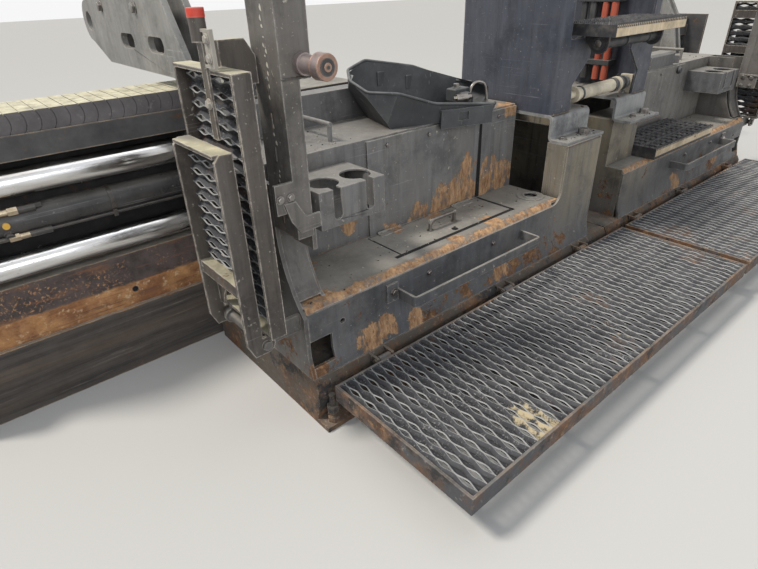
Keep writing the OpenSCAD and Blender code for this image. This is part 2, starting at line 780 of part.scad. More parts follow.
// Extender: closed body with stepped rear face, tall end plate and the chain's tray
module extender_half(tube_y) {
  inner = ext_end + ext_len;
  color(rust) along_x(ext_end + ext_plate, inner) polygon([
    [ext_rear, 0], [ext_rear, 223], [ext_rear + 12, 223], [ext_rear + 12, 302],
    [ext_rear + 30, ext_z - 30], [ext_rear + 30, ext_z], [ext_front - 60, ext_z],
    [ext_front, ext_z - 120], [ext_front, 0]]);
  color(paint) along_x(ext_end, ext_end + ext_plate) polygon([
    [ext_rear + 12, 0], [ext_rear + 12, ext_plate_z], [tube_y + chain_far + 6, ext_plate_z],
    [tube_y + chain_far + 36, ext_plate_z - 60], [tube_y + chain_far + 36, 640], [ext_front, 540],
    [ext_front, 0]]);
  // The chain's tray lies on the wall that holds the asphalt back
  tray_low = tube_high + 60;
  wall = tube_y + chain_far;
  color(dark) box([ext_end + ext_plate, tube_y - 30, tray_low], [inner - 34, wall + 4, tray_low + 64]);
  color(dark) box([ext_end + ext_plate, wall - 4, ext_z], [inner, wall + 4, tray_low]);
  color(paint) gate_hanger();
}

module gate_hanger() {
  for (y = [ext_rear + 90, ext_rear + 360]) {
    box([gate_x - 20, y - 22, 500], [ext_end, y + 22, 520]);
    translate([gate_x, y, 150]) cylinder(h = 352, r = guide_r);
  }
}

module tubes_half(tube_y) {
  inner = ext_end + ext_plate + tube_len;
  color(chrome) for (z = [tube_low, tube_high]) {
    rod_x(ext_end + ext_plate, inner - 12, tube_y, z, tube_r);
    rod_x(inner - 12, inner, tube_y, z, tube_r - 8);
  }
}

module barrel_half(tube_y) {
  x0 = ext_end + ext_plate;
  color(dark) difference() {
    union() {
      rod_x(x0, x0 + barrel_len, tube_y, ram_z, ram_r);
      rod_x(x0 + barrel_len - 40, x0 + barrel_len, tube_y, ram_z, ram_r + 4);
      for (x = [x0 + 240, x0 + barrel_len - 80]) translate([x, tube_y, ram_z])
        rotate([35, 0, 0]) translate([0, -ram_r - 10, 0]) rotate([-90, 0, 0]) cylinder(h = 30, r = 12);
    }
    rod_x(x0 + 15, x0 + barrel_len + 1, tube_y, ram_z, rod_r + 0.5);
  }
}

module rod_half(tube_y) {
  color(chrome) rod_x(end_x + 40, -20, tube_y, ram_z, rod_r);
}

// Hose chain on its tray: a row of links, each round at one end and hollow at the other
module chain_half(tube_y) {
  low = tube_high + 124;
  top = low + chain_h;
  bow = 9;
  count = floor((ext_len - 470) / link_len);
  x0 = ext_end + ext_plate + 10;
  bow_r = (chain_h * chain_h / 4 + bow * bow) / (2 * bow);
  half = asin(chain_h / 2 / bow_r);
  color(dark) for (i = [0 : count - 1]) {
    x = x0 + i * link_len;
    rear = arc(x + bow - bow_r, low + chain_h / 2, bow_r, -half, half, 6);
    along_y(tube_y - 26, tube_y + chain_far) polygon(concat(rear,
      [for (k = [6 : -1 : 0]) [rear[k][0] + link_len - 2, rear[k][1]]]));
    along_y(tube_y - 23, tube_y + chain_far - 3)
      polygon([[x + 4, low + 3], [x + link_len + 4, low + 3], [x + link_len + 4, top - 3], [x + 4, top - 3]]);
  }
}

// End gate with its ski, sliding on the hanger's rods
module gate_half() {
  inner = ext_end - 6;
  y0 = ext_rear - 36;
  color(paint) {
    along_x(inner - gate_t, inner) polygon([
      [y0, 12], [y0, gate_h - 60], [y0 + 40, gate_h], [y0 + gate_l, gate_h],
      [y0 + gate_l, 60], [y0 + gate_l - 50, 12]]);
    along_x(inner - 30, inner) polygon(concat([[y0, 0], [y0, 12], [y0 + gate_l - 62, 12]],
      [[y0 + gate_l - 18, 62], [y0 + gate_l - 8, 54], [y0 + gate_l - 56, 0]]));
    for (y = [ext_rear + 90, ext_rear + 360], z = [200, 300]) difference() {
      box([gate_x - 24, y - 24, z], [inner - gate_t, y + 24, z + 36]);
      translate([gate_x, y, z - 1]) cylinder(h = 38, r = guide_r + 0.3);
    }
  }
}

// Tow bracket: two plates and their spacers, with the bore for the tow pin
module tow_half() {
  nose = tow_front;
  foot = sole_d - 14;
  plates = [tow_x, tow_x + tow_t + tow_gap];
  bore_y = nose - tow_nose_r;
  color(paint_light) for (x = plates) difference() {
    along_x(x, x + tow_t) polygon(concat(
      [[foot - 136, deck_z], [foot, deck_z]], arc(foot + 60, tow_low - 60, 60, 180, 90, 5),
      [[nose - 220, tow_low], [bore_y, tow_pin_z - tow_nose_r]],
      arc(bore_y, tow_pin_z, tow_nose_r, -60, 90, 10),
      [[nose - 260, tow_pin_z + 110], [foot + 64, tow_pin_z + 100], [foot - 76, deck_z + 206]]));
    rod_x(x - 1, x + tow_t + 1, bore_y, tow_pin_z, tow_bore_r);
    along_x(x - 1, x + tow_t + 1) for (slot = [foot + 150, foot + 400]) translate([slot, tow_low + 82]) {
      square([80, 44], center = true);
      for (end = [-40, 40]) translate([end, 0]) circle(r = 22);
    }
  }
  spacers = [[foot - 16, deck_z + 166], [foot + 264, tow_pin_z + 50], [nose - 260, tow_pin_z + 50]];
  color(paint) for (p = spacers)
    rod_x(tow_x + tow_t, tow_x + tow_t + tow_gap, p[0], p[1], 24);
}

// Cup holder: bent box with two holes and a slot below each
module cup_holder_half() {
  x0 = cup_x;
  x1 = cup_x + cup_w;
  top = cup_z;
  rear = 135;
  sheet = 6;
  color(paint) difference() {
    box([x0, rear, top - cup_h], [x1, wall_y, top]);
    box([x0 + sheet, rear + sheet, top - cup_h - 1], [x1 - sheet, wall_y + 1, top - sheet]);
    for (x = [x0 + 58, x1 - 52]) {
      translate([x, rear + 66, top - sheet - 1]) cylinder(h = sheet + 2, r = cup_r);
      box([x - 13, rear - 1, top - 72], [x + 13, rear + 66, top + 1]);
      rod_y(x, rear - 1, rear + sheet + 1, top - 72, 13);
    }
  }
}

// Loose moulded tray that lies on the deck: a boat-like shell that falls to its right end
module tray_part() {
  translate([tray_x, wall_y + 21, deck_z]) rotate([0, 0, -tray_turn]) color(rubber) {
    difference() {
      tray_form(0);
      tray_form(tray_wall);
      along_y(-30, 60) polygon([[-50, 112], [87, 66], [tray_len, 40], [tray_len, 250], [-50, 250]]);
    }
    difference() {
      box([110, -16, -18], [tray_len - 30, -5, 42]);
      box([176, -17, 4], [214, -10, 30]);
    }
  }
}

// Tray's outline or its hollow: the side view, the end view and the plan cut one another
module tray_form(wall) {
  back = tray_d - 28;
  flare = tray_len / 2;
  intersection() {
    along_y(wall - 30, tray_d) polygon([
      [wall - 68, wall], [wall - 165, wall / 4 + 142], [-120, wall / 4 + 164], [-60, wall / 4 + tray_h],
      [120, wall / 4 + tray_h - 32], [tray_len - wall, wall / 4 + 88], [tray_len - wall, 60],
      [tray_len - 35 - wall, wall]]);
    along_x(-flare, tray_len) polygon([
      [wall, wall], [wall - 22, wall / 4 + 112], [30, wall / 4 + 115], [103, wall / 4 + 146],
      [back - wall, wall / 4 + tray_h + 4], [back - 12 - wall, wall]]);
    linear_extrude(tray_h + 10) polygon([
      [wall - 166, 96], [wall - 134, 28 + wall / 2], [wall / 2 - 50, wall - 22], [tray_len - 30, wall - 22],
      [tray_len - wall, 16], [tray_len - wall, 170], [tray_len - 50, back - wall], [-60, back - wall],
      [wall - 142, 176]]);
  }
}

module sole_left() left_side() sole_half();
module sole_right() right_side() sole_half();
module skirt_left() left_side() skirt_half(true);
module skirt_right() right_side() skirt_half(false);
module grab_bar_left() left_side() grab_bar_half();
module grab_bar_right() right_side() grab_bar_half();
module shelf_left() left_side() shelf_half(true);
module shelf_right() right_side() shelf_half(false);
module lid() left_side() lid_part();
module upper_left() left_side() upper_half();
module upper_right() right_side() upper_half();
module front_left() left_side() front_half(tube_y_left);
module front_right() right_side() front_half(tube_y_right);
module end_frame_left() left_side() end_frame_half();
module end_frame_right() right_side() end_frame_half();
module post_left() left_side() post_half();
module post_right() right_side() post_half();
module knob_left() left_side() knob_half();
module knob_right() right_side() knob_half();
module rack_left() left_side() rack_half();
module rack_right() right_side() rack_half();
module end_step_left() left_side() end_step_half();
module end_step_right() right_side() end_step_half();
module centre_block_left() left_side() centre_block_half(true);
module centre_block_right() right_side() centre_block_half(false);
module tower_left() left_side() tower_half();
module tower_right() right_side() tower_half();
module turnbuckle() left_side() turnbuckle_part();
module centre_step() left_side() centre_step_part();
module shelf_step() left_side() shelf_step_part();
module centre_bearing() left_side() centre_bearing_part();
module walkway_left() left_side()
  walkway_part(end_x + walk_end, walk_mid - walk_gap / 2, -hinge_x);
module walkway_right() left_side()
  walkway_part(walk_mid + walk_gap / 2, half_w - walk_end, hinge_x);
module extender_left() left_side() extender_half(tube_y_left);
module extender_right() right_side() extender_half(tube_y_right);
module tubes_left() left_side() tubes_half(tube_y_left);
module tubes_right() right_side() tubes_half(tube_y_right);
module barrel_left() left_side() barrel_half(tube_y_left);
module barrel_right() right_side() barrel_half(tube_y_right);
module rod_left() left_side() rod_half(tube_y_left);
module rod_right() right_side() rod_half(tube_y_right);
module chain_left() left_side() chain_half(tube_y_left);
module chain_right() right_side() chain_half(tube_y_right);
module gate_left() left_side() gate_half();
module gate_right() right_side() gate_half();
module tow_left() left_side() tow_half();
module tow_right() right_side() tow_half();
module cup_holder_left() left_side() cup_holder_half();
module cup_holder_right() right_side() cup_holder_half();
module tray() left_side() tray_part();
module rack_decks() {
  left_side() rack_deck();
  right_side() rack_deck();
}
module step_deck_left() left_side() end_step_deck();
module step_deck_right() right_side() end_step_deck();
module walk_deck_left() left_side()
  walkway_deck(end_x + walk_end, walk_mid - walk_gap / 2);
module walk_deck_right() left_side()
  walkway_deck(walk_mid + walk_gap / 2, half_w - walk_end);

sole_left();
sole_right();
skirt_left();
skirt_right();
grab_bar_left();
grab_bar_right();
shelf_left();
shelf_right();
lid();
upper_left();
upper_right();
front_left();
front_right();
end_frame_left();
end_frame_right();
post_left();
post_right();
knob_left();
knob_right();
rack_left();
rack_right();
end_step_left();
end_step_right();
centre_block_left();
centre_block_right();
tower_left();
tower_right();
turnbuckle();
centre_step();
shelf_step();
centre_bearing();
walkway_left();
walkway_right();
extender_left();
extender_right();
tubes_left();
tubes_right();
barrel_left();
barrel_right();
rod_left();
rod_right();
chain_left();
chain_right();
gate_left();
gate_right();
tow_left();
tow_right();
cup_holder_left();
cup_holder_right();
tray();
rack_decks();
step_deck_left();
step_deck_right();
walk_deck_left();
walk_deck_right();
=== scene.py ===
"""Looks of an extendable paver screed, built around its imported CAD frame. Metres, +Z up."""

import json
import math
import random

import bpy
from mathutils import Matrix, Vector


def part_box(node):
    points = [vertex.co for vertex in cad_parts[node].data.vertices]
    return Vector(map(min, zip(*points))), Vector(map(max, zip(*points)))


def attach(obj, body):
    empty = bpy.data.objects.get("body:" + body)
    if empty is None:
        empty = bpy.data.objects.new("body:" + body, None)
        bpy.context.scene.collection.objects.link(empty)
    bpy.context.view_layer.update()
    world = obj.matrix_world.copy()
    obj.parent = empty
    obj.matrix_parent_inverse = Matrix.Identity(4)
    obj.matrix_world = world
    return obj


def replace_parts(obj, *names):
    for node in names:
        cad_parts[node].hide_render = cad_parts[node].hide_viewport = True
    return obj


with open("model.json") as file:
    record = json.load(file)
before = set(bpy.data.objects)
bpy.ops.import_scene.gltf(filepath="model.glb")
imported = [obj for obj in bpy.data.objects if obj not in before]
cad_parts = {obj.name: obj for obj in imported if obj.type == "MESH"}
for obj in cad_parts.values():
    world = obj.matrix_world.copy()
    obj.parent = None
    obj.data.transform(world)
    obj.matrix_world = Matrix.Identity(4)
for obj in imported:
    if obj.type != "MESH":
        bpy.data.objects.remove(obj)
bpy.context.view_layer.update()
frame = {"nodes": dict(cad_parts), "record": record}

# Camera, solved from the photograph in the part's frame
CAMERA_AT = Vector((-2.10043, -1.44072, 1.10477))
CAMERA_YAW = math.radians(39.6877)
CAMERA_PITCH = math.radians(29.8136)
CAMERA_ROLL = math.radians(-1.723)
CAMERA_LENS = 24.985
SENSOR = 36.0

# Studio: half the floor's width, the key lamp's width and what lights the part all round
FLOOR_REACH = 30.0
KEY_SPREAD = math.radians(11)
SKY_COLOUR = (0.88, 0.93, 1.0)
SKY_POWER = 0.52

# Places that the dressing shares with the part, in metres
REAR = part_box("sole_left")[0].y
BEVEL = 0.0016
FINE_BEVEL = 0.0004
EDGE_ANGLE = math.radians(32)
SHARP_ANGLE = math.radians(30)
WELD_GAP = 2e-5
BEND_STEPS = 5
WEIGHTED_NODES = ("skirt_left", "skirt_right")
FINE_NODES = ("tubes_left", "tubes_right", "rod_left", "rod_right", *WEIGHTED_NODES)

SIDES = (("left", -1), ("right", 1))

rng = random.Random(7732)


def at(x, y, z):
    """A point from millimetres: x from the crown, y from the sole's rear edge, z from the mat."""
    return Vector((x / 1000, REAR + y / 1000, z / 1000))


def in_scene(name, data, turn=None):
    """A new object of that data in the scene's collection."""
    thing = bpy.data.objects.new(name, data)
    bpy.context.scene.collection.objects.link(thing)
    if turn:
        thing.matrix_world = turn
    return thing


def round_edges(thing, width, harden=True):
    """Rounds the edges that are sharper than EDGE_ANGLE."""
    rounding = thing.modifiers.new("rounding", "BEVEL")
    rounding.width = width
    rounding.segments = 2
    rounding.limit_method = "ANGLE"
    rounding.angle_limit = EDGE_ANGLE
    rounding.harden_normals = harden


def circle(centre, side, over, radius, count):
    """Points of a circle between two directions; radius in millimetres."""
    turns = [2 * math.pi * i / count for i in range(count)]
    return [centre + (side * math.cos(t) + over * math.sin(t)) * radius / 1000 for t in turns]


class Pile:
    """Collects simple solids in one mesh, which then rides on a body. Sizes are in millimetres."""

    def __init__(self, name, body, look, slot):
        self.name = name
        self.body = body
        self.look = look
        self.slot = slot
        self.points = []
        self.faces = []
        self.ridges = []

    def add(self, points, faces):
        first = len(self.points)
        self.points += points
        self.faces += [tuple(first + i for i in face) for face in faces]

    def rings(self, rings):
        """Joins rings of equally many points to one closed skin."""
        count = len(rings[0])
        points = [p for ring in rings for p in ring]
        faces = []
        for i in range(len(rings) - 1):
            for j in range(count):
                k = (j + 1) % count
                faces.append((i * count + j, i * count + k, (i + 1) * count + k, (i + 1) * count + j))
        faces.append(tuple(reversed(range(count))))
        faces.append(tuple(range((len(rings) - 1) * count, len(rings) * count)))
        self.add(points, faces)

    def box(self, low, high):
        corners = [(low[0], low[1]), (high[0], low[1]), (high[0], high[1]), (low[0], high[1])]
        self.rings([[at(x, y, z) for x, y in corners] for z in (low[2], high[2])])

    def band(self, x0, x1, y, z, radius, inner, sides=36, upright=False):
        """An open ring along X, or along Z where upright: then from height x0 to x1 round x=y, y=z."""
        points = []
        for x, r in ((x0, radius), (x1, radius), (x1, inner), (x0, inner)):
            for j in range(sides):
                turn = math.tau * j / sides
                u, v = y + r * math.cos(turn), z + r * math.sin(turn)
                points.append(at(u, v, x) if upright else at(x, u, v))
        faces = []
        for i in range(4):
            for j in range(sides):
                k = (j + 1) % sides
                after = (i + 1) % 4
                faces.append((i * sides + j, i * sides + k, after * sides + k, after * sides + j))
        self.add(points, faces)

    def rod(self, start, end, radius, end_radius=None, sides=20):
        """A round bar between two places given in millimetres."""
        a, b = at(*start), at(*end)
        ahead = (b - a).normalized()
        side = ahead.orthogonal().normalized()
        over = ahead.cross(side)
        rings = []
        for centre, r in ((a, radius), (b, radius if end_radius is None else end_radius)):
            rings.append(circle(centre, side, over, r, sides))
        self.rings(rings)

    def slab(self, sign, x0, x1, y0, y1, z0, z1):
        """A box whose x changes sign with the half."""
        left, right = sorted((sign * x0, sign * x1))
        self.box((left, y0, z0), (right, y1, z1))

    def bolt(self, place, axis, size=10, height=7, washer=True):
        """A hexagon head, on a washer, that stands along axis."""
        ax = Vector(axis).normalized()
        start = Vector(place)
        if washer:
            self.rod(start, start + ax * 2.5, size * 1.25, sides=24)
        self.rod(start + ax * 2.4, start + ax * (height + 1.4), size, sides=6)
        self.rod(start + ax * (height + 1.4), start + ax * (height + 2.4), size, size * 0.82, sides=6)

    def pipe(self, places, radius, sides=10):
        """A bent round bar or hose along places in millimetres; radius may be a list."""
        line = [at(*p) for p in places]
        count = len(line)
        rings = []
        side = None
        for i, p in enumerate(line):
            before = line[i - 1] if i else p
            after = line[i + 1] if i + 1 < count else p
            ahead = (after - before).normalized()
            if side is None:
                side = ahead.orthogonal().normalized()
            side = (side - ahead * side.dot(ahead)).normalized()
            over = ahead.cross(side)
            r = radius[i] if isinstance(radius, (list, tuple)) else radius
            rings.append(circle(p, side, over, r, sides))
        self.rings(rings)

    def weld(self, start, end, radius=3.0):
        """A lumpy weld bead between two places."""
        a, b = Vector(start), Vector(end)
        steps = max(3, int((b - a).length / 4))
        places = [a.lerp(b, i / steps) for i in range(steps + 1)]
        lumps = [radius * rng.uniform(0.72, 1.25) for _ in places]
        lumps[0] = lumps[-1] = radius * 0.4
        self.pipe(places, lumps, sides=6)

    def done(self, bevel=0.0):
        mesh = bpy.data.meshes.new(self.name)
        mesh.from_pydata(self.points, [], self.faces)
        mesh.update()
        mesh.materials.append(LOOKS[self.look])
        if self.ridges:
            ridge = mesh.attributes.new("ridge", "FLOAT", "POINT")
            ridge.data.foreach_set("value", [float(r) for r in self.ridges])
        mesh.polygons.foreach_set("use_smooth", [True] * len(mesh.polygons))
        mesh.set_sharp_from_angle(angle=SHARP_ANGLE)
        piece = in_scene(self.name, mesh)
        if bevel:
            round_edges(piece, bevel)
        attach(piece, self.body)
        return piece


def rounded(points, radius):
    """A path through points with its corners rounded; radius in the points' unit."""
    line = [Vector(p) for p in points]
    path = [line[0]]
    for a, b, c in zip(line, line[1:], line[2:]):
        back, on = (a - b), (c - b)
        cut = min(radius, back.length * 0.49, on.length * 0.49)
        p, q = b + back.normalized() * cut, b + on.normalized() * cut
        for i in range(BEND_STEPS + 1):
            t = i / BEND_STEPS
            path.append(p * (1 - t) ** 2 + b * 2 * t * (1 - t) + q * t ** 2)
    path.append(line[-1])
    return path


# Expanded metal: opening's short and long way, share of it where two strands are one, strand's
# width, thickness and tilt, and half the width of the dirt in a valley
SHORT_WAY = 31.0
LONG_WAY = 65.0
BOND_SHARE = 0.075
STRAND_W = 12.7
STRAND_T = 3.4
STRAND_TILT = math.radians(45)
DIRT_HALF = 5.6
DIRT_STEPS = 12


def expanded_metal(pile, span, run, place):
    """Slit and stretched plate over span by run millimetres, with every second strand leaning
    the other way, so that the strands meet in ridges and valleys; dirt has filled the valleys.
    place(u, v, h) gives a point: u across the strands, v along them, h off the plate's middle."""
    step = SHORT_WAY / 2
    reach = STRAND_W / 2 * math.cos(STRAND_TILT)
    rise = STRAND_W / 2 * math.sin(STRAND_TILT)
    bond = LONG_WAY * BOND_SHARE
    count = int((span - 2 * reach) / step) + 1
    spare = (span - 2 * reach - (count - 1) * step) / 2
    for k in range(count):
        keys = []
        for j in range(-1, int(run / (LONG_WAY / 2)) + 3):
            side = 1 if (j + k) % 2 == 0 else -1
            u = reach + spare + k * step + side * (step / 2 - reach)
            for end in (-bond, bond):
                keys.append((j * LONG_WAY / 2 + end, u))
        inside = [key for key in keys if 0 < key[0] < run]
        line = [between_keys(keys, 0)] + inside + [between_keys(keys, run)]
        lean = 1 if k % 2 == 0 else -1
        rings = []
        for v, u in line:
            u = min(max(u + rng.uniform(-0.25, 0.25), reach), span - reach)
            lift = rng.uniform(-0.3, 0.3)
            ring = []
            for a, b in ((-1, -1), (1, -1), (1, 1), (-1, 1)):
                off_u = a * reach - lean * b * STRAND_T / 2 * math.sin(STRAND_TILT)
                off_h = a * lean * rise + b * STRAND_T / 2 * math.cos(STRAND_TILT)
                ring.append(place(u + off_u, v, lift + off_h))
            rings.append(ring)
            pile.ridges += [a * lean > 0 for a in (-1, 1, 1, -1)]
        pile.rings(rings)
        # The valley dirt carries no ridge mark, so steel_mesh gives it painted shade
        if lean < 0 and k < count - 1:
            u = reach + spare + (k + 0.5) * step
            rings = []
            for j in range(DIRT_STEPS + 1):
                wide = DIRT_HALF + rng.uniform(-0.8, 0.8)
                lift = rng.uniform(-0.7, 0.7) - rise
                v = run * j / DIRT_STEPS
                corners = ((-wide, lift - 1), (wide, lift - 1), (wide, lift), (-wide, lift))
                rings.append([place(u + off, v, h) for off, h in corners])
                pile.ridges += [False] * 4
            pile.rings(rings)


def between_keys(keys, v):
    """The place on a line of (v, u) keys at v."""
    for a, b in zip(keys, keys[1:]):
        if a[0] <= v <= b[0]:
            return (v, a[1] + (b[1] - a[1]) * (v - a[0]) / (b[0] - a[0]))
    return keys[-1]


def new_node(tree, kind, inputs=(), **settings):
    """A shader node; inputs pairs a socket's number or name with a value or with an output."""
    node = tree.nodes.new("ShaderNode" + kind)
    for name, value in settings.items():
        setattr(node, name, value)
    for key, value in dict(inputs).items():
        target = node.inputs[key]
        if hasattr(value, "links"):
            tree.links.new(value, target)
        elif target.type == "RGBA" and len(value) == 3:
            target.default_value = (*value, 1)
        else:
            target.default_value = value
    return node


class Graph:
    """A material's node tree, with short calls for what the looks need and the colour laid so far."""

    def __init__(self, name):
        self.material = bpy.data.materials.new(name)
        self.material.use_nodes = True
        self.tree = self.material.node_tree
        self.tree.nodes.clear()
        self.place = self.node("TexCoord").outputs["Object"]
        self.facing = self.node("TexCoord").outputs["Normal"]
        self.colour = None
        self.normal = {}

    def node(self, kind, inputs=(), **settings):
        return new_node(self.tree, kind, inputs, **settings)

    def math(self, operation, a, b=0.0, clamp=False):
        return self.node("Math", enumerate((a, b)), operation=operation, use_clamp=clamp).outputs[0]

    def times(self, a, b):
        return self.math("MULTIPLY", a, b)

    def plus(self, a, b):
        return self.math("ADD", a, b)

    def most(self, a, b):
        return self.math("MAXIMUM", a, b)

    def mix(self, share, a, b):
        return self.node("Mix", {0: share, 6: a, 7: b}, data_type="RGBA").outputs[2]

    def coat(self, share, over):
        """Lays a colour over the colour so far, by its share."""
        self.colour = self.mix(share, self.colour, over)

    def between(self, value, low, high, to_low=0.0, to_high=1.0):
        """value from low to high becomes to_low to to_high, held at both ends."""
        return self.node("MapRange", enumerate((value, low, high, to_low, to_high))).outputs[0]

    def noise(self, scale, detail=4.0, rough=0.6, move=None):
        """Cloudy noise; scale is one number, or one for each axis."""
        place = self.place
        stretched = isinstance(scale, tuple)
        if stretched or move:
            mapping = {
                "Vector": place, "Scale": scale if stretched else (1, 1, 1),
                "Location": move or (0, 0, 0)}
            place = self.node("Mapping", mapping).outputs[0]
        cloud = {
            "Vector": place, "Scale": 1.0 if stretched else scale, "Detail": detail, "Roughness": rough}
        return self.node("TexNoise", cloud).outputs["Fac"]

    def patches(self, scale, detail, rough, low, high, to_low=0.0, to_high=1.0, move=None):
        """Noise put through between(), which leaves patches with soft or sharp edges."""
        return self.between(self.noise(scale, detail, rough, move), low, high, to_low, to_high)

    def shine(self, scale, low, high):
        """Roughness that changes softly between low and high."""
        return self.patches(scale, 4, 0.6, 0.3, 0.7, low, high)

    def axis(self, vector, index):
        return self.node("SeparateXYZ", {0: vector}).outputs[index]

    def upward(self, low, high, to_low=0.0, to_high=1.0):
        """to_high on faces that look up and to_low on the others."""
        return self.between(self.axis(self.facing, 2), low, high, to_low, to_high)

    def edges(self, radius=0.006):
        """1 on a sharp edge and 0 on a flat face."""
        soft = self.node("Bevel", {"Radius": radius}, samples=4).outputs[0]
        hard = self.node("NewGeometry").outputs["Normal"]
        same = self.node("VectorMath", {0: soft, 1: hard}, operation="DOT_PRODUCT")
        return self.between(same.outputs["Value"], 0.985, 0.75)

    def painted_corner_shade(self):
        """1 deep in a corner and 0 on an open face, from ambient occlusion; it masks painted shade in
        corners.
        """
        hidden = self.node("AmbientOcclusion", {"Distance": CORNER_REACH}, samples=4)
        return self.between(hidden.outputs["AO"], 0.78, 0.30)

    def near(self, spot, radius, ragged=0.10):
        """1 round a place given as for at(), with a ragged edge; radius in metres."""
        away = self.node(
            "VectorMath", {0: self.place, 1: at(*spot)}, operation="DISTANCE").outputs["Value"]
        rough = self.patches(13, 9, 0.76, 0.28, 0.72, -ragged, ragged)
        return self.between(self.plus(away, rough), radius, radius * 0.80)

    def bump(self, height, strength, distance=0.002):
        bump = self.node("Bump", {"Strength": strength, "Distance": distance, "Height": height})
        self.normal = {"Normal": bump.outputs[0]}

    def finish(self, rough, metallic=0.0, specular=0.5):
        """The material, once its colour and bump are laid."""
        surface = {
            "Base Color": self.colour, "Roughness": rough, "Metallic": metallic,
            "Specular IOR Level": specular, **self.normal}
        shader = self.node("BsdfPrincipled", surface)
        self.node("OutputMaterial", {0: shader.outputs[0]})
        return self.material


RUST_DARK = (0.056, 0.030, 0.018)
RUST_MID = (0.175, 0.084, 0.036)
RUST_LIGHT = (0.40, 0.225, 0.105)
DUST = (0.33, 0.31, 0.27)
BARE = (0.42, 0.40, 0.37)
CORNER_REACH = 0.05


def tinted(colour, times, plus=0.0):
    """A colour made brighter or darker; plus is one number or one for each channel."""
    more = plus if isinstance(plus, tuple) else (plus,) * 3
    return tuple(c * times + add for c, add in zip(colour, more))


def rust_colour(g, scale=24.0):
    """Rust in three shades that change in patches."""
    deep = g.mix(g.patches(scale, 6, 0.7, 0.35, 0.62), RUST_DARK, RUST_MID)
    return g.mix(g.patches(scale * 2.3, 5, 0.75, 0.52, 0.72), deep, RUST_LIGHT)


